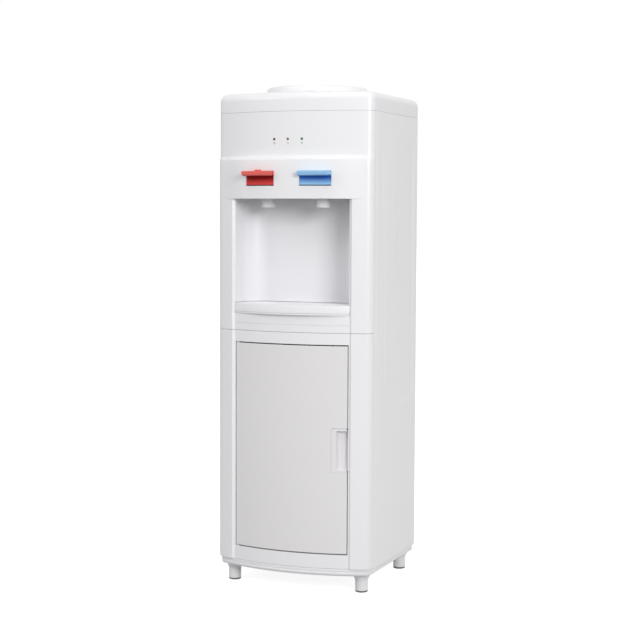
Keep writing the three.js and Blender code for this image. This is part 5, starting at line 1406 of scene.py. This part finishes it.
    def grille(self) -> None:
        """The grille: bars along x in a frame that follows the tray's plan, and two ribs across them."""
        low, high = span(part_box("drip_grille"))
        outer = self.tray_plan(self.wall + self.running)
        inner = self.tray_plan(self.wall + self.grille_frame)
        rows = [(outer, low), (outer, high), (inner, high), (inner, low), (outer, low)]
        shell = Shell().grid(stacked(rows), around=True)
        y0, y1 = inner[:, 1].min(), inner[:, 1].max()
        order = inner[np.argsort(inner[:, 1])]
        edge = order[order[:, 0] > 0]
        for y in np.linspace(y0, y1, self.bars + 2)[1:-1]:
            x = float(np.interp(y, edge[:, 1], edge[:, 0])) + 1.0 * MM
            slab(shell, (-x, y - self.bar_half, low + 0.2 * MM), (x, y + self.bar_half, high - 0.1 * MM))
        for x in self.rib_places:
            slab(shell, (x - self.rib_half, y0 - 1.0 * MM, low + 0.1 * MM),
                 (x + self.rib_half, y1 + 1.0 * MM, high - 0.05 * MM))
        piece = eased(shell.build("drip_grille_bars"), 0.3 * MM, segments=2, angle=50)
        self.shop.dress(piece, "inner_abs", "drip_grille", ["drip_grille"])

    def build(self) -> None:
        """Makes the liner, the plate of painted shade, the tray, its lip and the grille."""
        self.liner()
        self.shade()
        self.tray()
        self.lip()
        self.grille()


# Taps


@dataclass
class TapSet:
    """One tap: the lever in the fascia, the nozzle in the bay, and the child lock on the hot side."""

    shop: Workshop
    tap: Tap
    half: float = 29.5 * MM
    reach: float = 0.160
    top: float = 0.776
    lead: float = 3.7 * MM
    face_wall: float = 3.0 * MM
    nose: float = 2.2 * MM
    pivot: Pair = (-0.130, 0.781)
    arm: float = 4.2 * MM
    arm_half: float = 1.8 * MM
    block_half: float = 6.0 * MM
    block_rear: float = -0.109
    back: float = -0.134
    bore: float = 5.0 * MM
    barrel: float = 13.5 * MM
    mouth_round: float = 1.4 * MM
    flange: float = 18.0 * MM
    flange_wall: float = 3.0 * MM
    chamber: float = 11.0 * MM
    chamber_bore: float = 7.0 * MM
    neck: float = 7.5 * MM
    stem_hole: float = 2.35 * MM
    inlet: float = 0.7546
    inlet_radius: float = 4.5 * MM

    @property
    def word(self) -> str:
        """The tap's word in the names of its nodes."""
        return self.tap.name.lower()

    @property
    def x(self) -> float:
        """Where the tap lies across the housing."""
        return TAP_X * self.tap.value

    def lever(self) -> None:
        """The lever's outline (y, z) carried across x, with its face bent to the fascia's arc.

        A point's place along Y is its outline's y plus w (depth(x) - depth(centre)), where w is 1 on the
        face and 0 on the lip's front edge, which stays parallel to X. Each row below is an offset from
        the front edge or the face, a drop from the top and w.
        """
        low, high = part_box(f"{self.word}_tap_lever")
        top, edge, face = self.top, -self.reach, float(PLAN.depth(self.x, self.lead))
        nose = arc_points((edge + self.nose, top - self.nose), self.nose, QUARTER, np.pi * 1.1, 6)
        rows = np.array([
            *np.column_stack([nose, np.zeros(len(nose))]),
            (edge + 1.2 * MM, top - 7.4 * MM, 0), (edge + 4.4 * MM, top - 8.8 * MM, 0.2),
            (face - 2.0 * MM, top - 9.0 * MM, 0.9), (face - 0.5 * MM, top - 9.6 * MM, 1),
            (face + 1.6 * MM, top - 11.5 * MM, 1), (face + 1.3 * MM, top - 16 * MM, 1),
            (face, low.z + 1.2 * MM, 1), (face + 0.5 * MM, low.z, 1), (face + self.face_wall, low.z, 1),
            (face + self.face_wall, top - 8.0 * MM, 1), (self.back, top - 5.0 * MM, 0),
            (self.back + 2.0 * MM, top - 1.0 * MM, 0), (self.back, top, 0),
        ])
        x0, x1 = self.x - self.half, self.x + self.half
        xs = np.linspace(x0, x1, 17)[:, None]
        points = placed(xs, rows[:, 0] + (PLAN.depth(xs, self.lead) - face) * rows[:, 2], rows[:, 1])
        shell = Shell().grid(points, around=True).cap(points[0]).cap(points[-1], flip=True)
        y, z = self.pivot
        tube(shell, [(low.x, y, z), (high.x, y, z)], 2.0 * MM, 20)
        tube(shell, [(x0, y, z), (x1, y, z)], 3.0 * MM, 24)
        for side in (-1, 1):
            x = self.x + side * self.arm
            slab(shell, (x - self.arm_half, y, z - 2 * MM), (x + self.arm_half, high.y, z + 2 * MM))
        slab(shell, (self.x - self.block_half, y - 3 * MM, z - 7.5 * MM),
             (self.x + self.block_half, self.block_rear, z + 1.5 * MM))
        piece = eased(shell.build(f"{self.word}_lever"), 0.5 * MM, angle=35)
        color = "red_abs" if self.tap is Tap.HOT else "blue_abs"
        self.shop.dress(piece, color, f"{self.word}_lever", [f"{self.word}_tap_lever"])

    def nozzle(self) -> None:
        """The tap body: a nozzle with an eased mouth, the flange on the liner, the chamber and its cap."""
        low, high = span(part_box(f"{self.word}_tap_body"))
        bore, barrel, round_ = self.bore, self.barrel, self.mouth_round
        mouth = arc_points((barrel - round_, low + round_), round_, -QUARTER, 0, 6)
        floor, seat, shoulder, ceiling = low + 14.4 * MM, low + 21.4 * MM, high - 4.0 * MM, high - 6.0 * MM
        top = seat + self.flange_wall
        profile = [(bore, low + 0.6 * MM), (bore + 0.6 * MM, low), (barrel - 3.3 * MM, low), *mouth,
                   (barrel, seat - 0.2 * MM), (self.flange, seat), (self.flange, top), (self.chamber, top),
                   (self.chamber, shoulder), (self.neck, shoulder), (self.neck, high), (self.stem_hole, high),
                   (self.stem_hole, ceiling), (self.chamber_bore, ceiling), (self.chamber_bore, floor),
                   (bore, floor), (bore, low + 0.6 * MM)]
        piece = revolved(f"{self.word}_nozzle", profile, (self.x, NOZZLE_Y, 0), sides=64)
        eased(piece, 0.3 * MM, segments=2, angle=40)
        self.shop.dress(piece, "nozzle_abs", nodes=[f"{self.word}_tap_body"])
        route = [(self.x + self.tap.value * reach, NOZZLE_Y, self.inlet) for reach in (0.009, 0.024)]
        stub = tube(Shell(), route, self.inlet_radius, 24).build(f"{self.word}_inlet_stub")
        self.shop.dress(stub, "inner_abs")

    def lock(self) -> None:
        """The child lock: a half-round tab with three finger ribs on the hot lever's lip."""
        low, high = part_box("hot_child_lock")
        middle, radius = (low.x + high.x) / 2, (high.x - low.x) / 2
        outline = arc_points((middle, high.y), radius, np.pi, TURN, 20)
        shell = prism(Shell(), outline, self.top + 0.3 * MM, high.z - 0.2 * MM)
        for step in range(3):
            y = high.y - 1.6 * MM - step * 1.4 * MM
            half = np.sqrt(radius**2 - (high.y - y) ** 2) - 1.2 * MM
            slab(shell, (middle - half, y - 0.35 * MM, high.z - 0.3 * MM),
                 (middle + half, y + 0.35 * MM, high.z))
        slab(shell, (middle - 3.2 * MM, high.y - 4.6 * MM, low.z),
             (middle + 3.2 * MM, high.y, self.top + 0.5 * MM))
        piece = eased(shell.build("child_lock_tab"), 0.4 * MM, angle=40)
        self.shop.dress(piece, "red_abs", "hot_lock", ["hot_child_lock"])

    def build(self) -> None:
        """Makes the lever, the nozzle and, on the hot tap, the lock."""
        self.lever()
        self.nozzle()
        if self.tap is Tap.HOT:
            self.lock()


@dataclass
class ControlPanel:
    """Three indicator lamps, each over a small plain pictogram."""

    shop: Workshop
    spacing: float = 27.3 * MM
    height: float = 0.8343
    setback: float = 3.0 * MM
    radius: float = 2.5 * MM
    proud: float = 1.0 * MM
    mark_drop: float = 7.4 * MM
    mark_size: float = 4.4 * MM
    line: float = 0.26 * MM

    def lamp(self, place: int, name: str, finish: str) -> None:
        """A lens whose dome, half of a flattened ball, stands on a short cylinder.

        Args:
            place: -1, 0 or 1, from left to right.
            name: the lamp's CAD node.
            finish: the lens's finish.
        """
        x = place * self.spacing
        face = -float(PLAN.depth(x, -self.setback))
        angle = np.linspace(0, QUARTER, 10)
        dome = np.column_stack([self.radius * np.cos(angle), face + self.proud * np.sin(angle)])
        profile = [(0, face - 2 * MM), (self.radius, face - 2 * MM), (self.radius, face - 0.1 * MM), *dome]
        piece = revolved(f"{name}_lens", profile, (x, 0, self.height), Axis.FORWARD, sides=32)
        self.shop.dress(piece, finish, nodes=[name])

    def strokes(self, place: int) -> list[np.ndarray]:
        """Lines (u, v) of a mark, in shares of its size.

        Args:
            place: -1 for heat waves, 0 for an open ring with a bar, and 1 for a snow star.

        Returns:
            The points of each line.
        """
        if place < 0:
            t = np.linspace(0, 1, 15)
            return [np.column_stack([c + 0.09 * np.sin(TURN * t), t - 0.5]) for c in (-0.3, 0.0, 0.3)]
        if place == 0:
            ring = arc_points((0, 0), 0.42, np.radians(125), np.radians(415), 30)
            return [ring, np.array([[0.0, 0.08], [0.0, 0.52]])]
        ways = [np.array([np.cos(a), np.sin(a)]) * 0.5 for a in np.radians([30, 90, 150])]
        return [np.array([-way, way]) for way in ways]

    def mark(self, place: int, name: str) -> None:
        """One pictogram: thin bars laid along its lines on the panel's arc.

        Args:
            place: -1, 0 or 1, from left to right.
            name: the name of the lamp above it.
        """
        shell = Shell()
        for stroke in self.strokes(place):
            x = place * self.spacing + stroke[:, 0] * self.mark_size
            z = self.height - self.mark_drop + stroke[:, 1] * self.mark_size
            tube(shell, np.column_stack([x, PLAN.depth(x, -self.setback) + 0.12 * MM, z]), self.line, 8)
        self.shop.dress(shell.build(f"mark_{name}"), "print_grey")

    def build(self) -> None:
        """Makes the lamps and their marks."""
        for place, name, color in ((-1, "hot", "red"), (0, "power", "yellow"), (1, "cold", "green")):
            self.lamp(place, f"lamp_{name}", f"{color}_lens")
            self.mark(place, name)


# Rear


@dataclass
class CoolingSystem:
    """What shows behind the housing: compressor, wire-on-tube condenser and filter dryer."""

    shop: Workshop
    reach: float = 0.160
    half: float = 0.112
    bottom: float = 0.306
    pitch: float = 0.080
    runs: int = 6
    tube_radius: float = 2.4 * MM
    bend: float = 9.0 * MM
    wire: float = 0.75 * MM
    wires: int = 32
    wire_half: float = 0.094
    wire_tail: float = 0.012
    bracket_x: float = 0.072
    bracket_half: Pair = (5.0 * MM, 10.0 * MM)
    web_half: float = 1.0 * MM
    panel_face: Pair = (0.1398, 0.1413)
    return_x: float = 0.084
    return_y: float = 0.1295
    riser_x: float = 0.096
    line_y: float = 0.112
    loop_z: float = 0.210
    discharge: Pair = (-0.002, 0.088)
    suction: Pair = (0.053, 0.060)
    shell_centre: Pair = (0.026, 0.074)
    shell_span: Pair = (0.0455, 0.1648)
    shell_radius: float = 0.050
    shell_stretch: float = 1.28
    foot_round: float = 0.02
    feet_y: Pair = (0.044, 0.104)
    stub_foot: float = 0.145
    dryer_x: float = -0.034
    dryer_span: Pair = (0.092, 0.184)
    line_radius: float = 3.0 * MM
    line_bend: float = 6.0 * MM
    dryer_swell: float = 6.5 * MM
    neck_height: float = 9.0 * MM

    def condenser(self) -> None:
        """The tube's folds, found from the run's number, upright wires on both faces and four brackets."""
        top = self.bottom + self.pitch * (self.runs - 1)
        y = self.reach - 2 * self.wire - self.tube_radius + 0.3 * MM
        stub_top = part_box("compressor")[1].z
        out_x, out_y = self.discharge
        corners = [(out_x, out_y, stub_top - 1 * MM), (out_x, out_y, self.loop_z),
                   (out_x, self.line_y, self.loop_z), (self.riser_x, self.line_y, self.loop_z),
                   (self.riser_x, self.line_y, top), (self.riser_x, y, top)]
        for run in range(self.runs - 1):
            x, z = self.half if run % 2 else -self.half, top - run * self.pitch
            corners += [(x, y, z), (x, y, z - self.pitch)]
        corners += [(-self.return_x, y, self.bottom), (-self.return_x, self.return_y, self.bottom)]
        shell = tube(Shell(), rounded_path(corners, self.bend), self.tube_radius, 14)
        ends = (self.bottom - self.wire_tail, top + self.wire_tail)
        for x in np.linspace(-self.wire_half, self.wire_half, self.wires):
            for side in (-1, 1):
                face = y + side * (self.tube_radius + self.wire - 0.25 * MM)
                tube(shell, [(x, face, z) for z in ends], self.wire, 6)
        (back, front), (half_x, half_z), web = self.panel_face, self.bracket_half, self.web_half
        for z in (self.bottom + self.pitch, self.bottom + 4 * self.pitch):
            for x in (-self.bracket_x, self.bracket_x):
                slab(shell, (x - half_x, back, z - half_z), (x + half_x, front, z + half_z))
                slab(shell, (x - half_x, back, z - web), (x + half_x, y, z + web))
        self.shop.dress(shell.build("condenser_coil"), "black_tube", nodes=["condenser"])

    def compressor(self) -> None:
        """The shell's profile: a domed foot, a welded waist seam and a domed top, stretched across."""
        low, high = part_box("compressor")
        foot, top = self.shell_span
        radius, rise = self.shell_radius, top - foot
        centre = (radius - self.foot_round, foot + self.foot_round)
        low_dome = arc_points(centre, self.foot_round, -QUARTER, 0, 8) * np.array([0.96, 1])
        shares = np.array([[0.96, 0.46], [0.965, 0.5], [1, 0.51], [1, 0.54], [0.965, 0.55], [0.955, 0.62]])
        waist = np.column_stack([shares[:, 0] * radius, foot + shares[:, 1] * rise])
        angle = np.linspace(0, QUARTER, 12)
        dome = np.column_stack([0.955 * radius * np.cos(angle) ** 0.7,
                                foot + rise * (0.66 + 0.34 * np.sin(angle))])
        piece = revolved("compressor_shell", [(0, foot), *low_dome, *waist, *dome], (*self.shell_centre, 0),
                         sides=72, stretch=self.shell_stretch)
        self.shop.dress(piece, "black_shell", nodes=["compressor"])
        near, far = self.feet_y
        shell = slab(Shell(), (low.x, near, low.z), (high.x, far, low.z + 2.5 * MM))
        for place in (self.suction, self.discharge):
            tube(shell, [(*place, self.stub_foot), (*place, high.z)], self.line_radius, 16)
        self.shop.dress(eased(shell.build("compressor_feet"), 0.6 * MM, segments=2), "black_shell")

    def dryer(self) -> None:
        """The dryer's cartridge, whose spun necks are quarters of an ellipse, and the line down to it."""
        x, (low, high) = self.dryer_x, self.dryer_span
        angle = np.linspace(0, QUARTER, 7)
        width = self.line_radius + self.dryer_swell * np.sin(angle)
        rise = self.neck_height * (1 - np.cos(angle))
        foot, head = (np.column_stack([width, height]) for height in (low + rise, high - rise))
        profile = [(0, low - 8 * MM), (self.line_radius, low - 8 * MM), *foot, *head[::-1], (0, high)]
        piece = revolved("dryer_cartridge", profile, (x, self.line_y, 0), sides=40)
        self.shop.dress(piece, "copper", nodes=["filter_dryer"])
        side, y, z = -self.return_x, self.line_y, self.loop_z - 2 * MM
        corners = [(side, self.return_y, self.bottom), (side, y, self.bottom), (side, y, z), (x, y, z),
                   (x, y, high - 4 * MM)]
        line = tube(Shell(), rounded_path(corners, self.line_bend), self.line_radius, 16)
        self.shop.dress(line.build("dryer_line"), "copper")

    def build(self) -> None:
        """Makes the cooling system's pieces."""
        self.condenser()
        self.compressor()
        self.dryer()


@dataclass
class RearFittings:
    """The switch rockers, the drain with its cap and the cord's gland."""

    shop: Workshop
    drain: Pair = (-0.070, 0.262)
    gland: Pair = (0.096, 0.262)
    panel: float = 0.1398
    rocker_axis: Pair = (0.1363, 0.790)
    rocker_tip: float = np.radians(5)
    rocker_height: float = 19 * MM
    rocker_depth: float = 9 * MM
    cap_bore: float = 7.4 * MM
    cap_radius: float = 9.9 * MM
    cap_ribs: int = 12
    cap_sides: int = 96
    rib_height: float = 0.28 * MM

    def rocker(self, word: str, finish: str) -> None:
        """A rocker whose face (0.42 + 0.2 |v|^1.6) dips in the middle, tipped by half its swing.

        Args:
            word: the switch's word in the names of its nodes.
            finish: the rocker's finish.
        """
        low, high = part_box(f"{word}_switch")
        y, z = self.rocker_axis
        v = np.linspace(-1, 1, 13)
        across = np.array([*(0.42 + 0.2 * np.abs(v) ** 1.6), 0, -0.48, -0.48, 0]) * self.rocker_depth
        up = np.array([*(0.47 * v), 0.46, 0.22, -0.22, -0.46]) * self.rocker_height
        cos, sin = np.cos(self.rocker_tip), np.sin(self.rocker_tip)
        ends = np.array([[low.x + 2 * MM], [high.x - 2 * MM]])
        rows = placed(ends, y + across * cos + up * sin, z + up * cos - across * sin)
        shell = Shell().grid(rows, around=True).cap(rows[0]).cap(rows[1], flip=True)
        tube(shell, [(low.x, y, z), (high.x, y, z)], 1.3 * MM, 14)
        piece = eased(shell.build(f"{word}_rocker_key"), 0.5 * MM, angle=40)
        self.shop.dress(piece, finish, f"{word}_rocker", [f"{word}_switch"])

    def cap(self) -> None:
        """The drain cap: a turned cap whose radius is rippled by its grip ribs, r + a cos(12 t)."""
        low, high = span(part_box("drain_cap"), "y")
        bore, radius = self.cap_bore, self.cap_radius
        profile = np.array([(bore, low), (radius - 0.2 * MM, low), (radius, low + 0.5 * MM),
                            (radius, high - 1.2 * MM), (radius - 0.9 * MM, high), (0, high),
                            (0, high - 3 * MM), (bore, high - 3 * MM), (bore, low)])
        angle = np.linspace(0, TURN, self.cap_sides, endpoint=False)
        ripple = self.rib_height * np.cos(self.cap_ribs * angle) - 0.2 * MM
        rippled = profile[:, :1] + np.where(profile[:, :1] > radius - 0.4 * MM, ripple, 0.0)
        x, z = self.drain
        points = placed(x + rippled * np.cos(angle), profile[:, 1:], z + rippled * np.sin(angle))
        piece = Shell().grid(points, around=True).build("drain_cap_ribbed")
        self.shop.dress(piece, "black_abs", "drain_cap", ["drain_cap"])

    def fittings(self) -> None:
        """The drain spigot and the cord's tapered bush with three rings, turned, their radii in mm."""
        (x, z), face = self.drain, self.panel
        low, high = span(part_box("drain_fitting"), "y")
        profile = [(4, low), (7, low), (7, face), (12, face), (12, face + 3 * MM), (7, face + 3 * MM),
                   (7, high), (4, high), (4, low)]
        profile = [(radius * MM, y) for radius, y in profile]
        piece = eased(revolved("drain_spigot", profile, (x, 0, z), Axis.BACK), 0.4 * MM, segments=2, angle=40)
        self.shop.dress(piece, "inner_abs", nodes=["drain_fitting"])
        x, z = self.gland
        low, high = span(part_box("cord_gland"), "y")
        rings = ((11, 0), (11, 3.6), (10.4, 4.2), (7.4, 4.6), (7.2, 6), (6.2, 6.2), (6.2, 7), (6.9, 7.2),
                 (6.7, 8.8), (5.9, 9), (5.9, 9.8), (6.3, 10), (6.0, 12), (5.5, 13.4))
        profile = [(3.6, low), (7, low), (7, face), *[(radius, face + y * MM) for radius, y in rings],
                   (4.4, high), (3.6, high), (3.6, low)]
        profile = [(radius * MM, y) for radius, y in profile]
        piece = revolved("cord_bush", profile, (x, 0, z), Axis.BACK)
        self.shop.dress(piece, "black_abs", nodes=["cord_gland"])

    def build(self) -> None:
        """Makes the rear fittings."""
        self.rocker("hot", "red_switch")
        self.rocker("cold", "green_switch")
        self.cap()
        self.fittings()


# Studio


@dataclass
class Studio:
    """Camera, floor, world and lamps."""

    place: Place = (1.12233, -2.71335, 0.69648)
    yaw: float = np.radians(22.34)
    pitch: float = np.radians(3.92)
    roll: float = np.radians(0.26)
    lens: float = 86.256
    sensor: float = 36.0
    ambient: float = 0.49
    floor_tone: float = 0.4
    floor_glow: float = 0.86
    floor_x: Pair = (-14.0, 14.0)
    floor_y: Pair = (-8.0, 30.0)
    aim: Place = (0.0, 0.0, 0.5)

    def camera(self) -> None:
        """The camera that the photograph was fitted with: yaw left, pitch down and a small roll."""
        cy, sy, cp, sp = np.cos(self.yaw), np.sin(self.yaw), np.cos(self.pitch), np.sin(self.pitch)
        forward = np.array([-sy * cp, cy * cp, -sp])
        right = np.array([cy, sy, 0])
        up = np.cross(right, forward)
        cr, sr = np.cos(self.roll), np.sin(self.roll)
        right, up = cr * right + sr * up, -sr * right + cr * up
        data = bpy.data.cameras.new("camera")
        data.lens, data.sensor_width = self.lens, self.sensor
        eye = bpy.data.objects.new("camera", data)
        turn = Matrix(np.column_stack([right, up, -forward]).tolist()).to_4x4()
        eye.matrix_world = Matrix.Translation(Vector(self.place)) @ turn
        bpy.context.scene.collection.objects.link(eye)
        bpy.context.scene.camera = eye

    @staticmethod
    def seen_directly(tree: Tree) -> Socket:
        """1 for rays of the camera and for what gloss and glass show, and 0 for light on surfaces.

        Args:
            tree: the tree that gets the nodes.

        Returns:
            The value's socket.
        """
        rays = tree.nodes.new("ShaderNodeLightPath").outputs
        seen = maths(tree, "MAXIMUM", rays["Is Camera Ray"], rays["Is Glossy Ray"])
        return maths(tree, "MAXIMUM", seen, rays["Is Transmission Ray"])

    def world(self) -> None:
        """White where it is seen, and a soft grey light on everything else."""
        made = bpy.data.worlds.new("studio")
        bpy.context.scene.world = made
        made.use_nodes = True
        tree = made.node_tree
        light = fill(tree, tree.nodes["Background"], {"Color": (1, 1, 1, 1), "Strength": self.ambient})
        white = add(tree, "Background", {"Color": (1, 1, 1, 1), "Strength": 1.0})
        mix = add(tree, "MixShader", {"Fac": self.seen_directly(tree), 1: light.outputs["Background"],
                                      2: white.outputs["Background"]})
        fill(tree, tree.nodes["World Output"], {"Surface": mix.outputs["Shader"]})

    def floor(self) -> None:
        """A wide pale floor that shows white and keeps the object's soft shadow."""
        points = placed(np.array(self.floor_x), np.array(self.floor_y)[:, None], 0.0)
        piece = Shell().grid(points).build("floor", closed=False)
        made = bpy.data.materials.new("studio_floor")
        made.use_nodes = True
        tree = made.node_tree
        shader = fill(tree, tree.nodes["Principled BSDF"],
                      {"Base Color": (*[self.floor_tone] * 3, 1), "Roughness": 0.9})
        strength = maths(tree, "MULTIPLY", self.seen_directly(tree), self.floor_glow)
        glow = add(tree, "Emission", {"Strength": strength})
        both = add(tree, "AddShader", {0: shader.outputs["BSDF"], 1: glow.outputs["Emission"]})
        fill(tree, tree.nodes["Material Output"], {"Surface": both.outputs["Shader"]})
        piece.data.materials.append(made)

    def lamp(self, name: str, place: Place, size: float, power: float) -> None:
        """A square soft box that faces the middle of the object.

        Args:
            name: the lamp's name.
            place: where it stands.
            size: its width.
            power: its power in watts.
        """
        data = bpy.data.lights.new(name, "AREA")
        data.size = size
        data.energy = power
        box = bpy.data.objects.new(name, data)
        box.location = place
        box.rotation_euler = (Vector(self.aim) - Vector(place)).to_track_quat("-Z", "Y").to_euler()
        bpy.context.scene.collection.objects.link(box)

    def build(self) -> None:
        """Sets up the whole studio."""
        bpy.context.scene.view_settings.view_transform = "Standard"
        self.camera()
        self.world()
        self.floor()
        self.lamp("key", (2.5, -2.5, 1.55), 1.1, 57)
        self.lamp("fill", (-2.2, -2.5, 2.4), 1.4, 17)
        self.lamp("front_top", (0.1, -1.8, 2.7), 0.8, 5.5)
        self.lamp("top", (0.0, -0.5, 3.2), 1.8, 10)


def main() -> None:
    """Builds the studio, every sub-assembly and the finishes, in that order."""
    logging.basicConfig(level=logging.INFO, format="%(message)s")
    Studio().build()
    shop = Workshop()
    for assembly in (FrontMouldings, TopCover, SidePanels, Base, Door, DispensingBay):
        assembly(shop).build()
    for tap in Tap:
        TapSet(shop, tap).build()
    for assembly in (ControlPanel, CoolingSystem, RearFittings):
        assembly(shop).build()
    shop.dress_nodes()


if __name__ == "__main__":
    main()
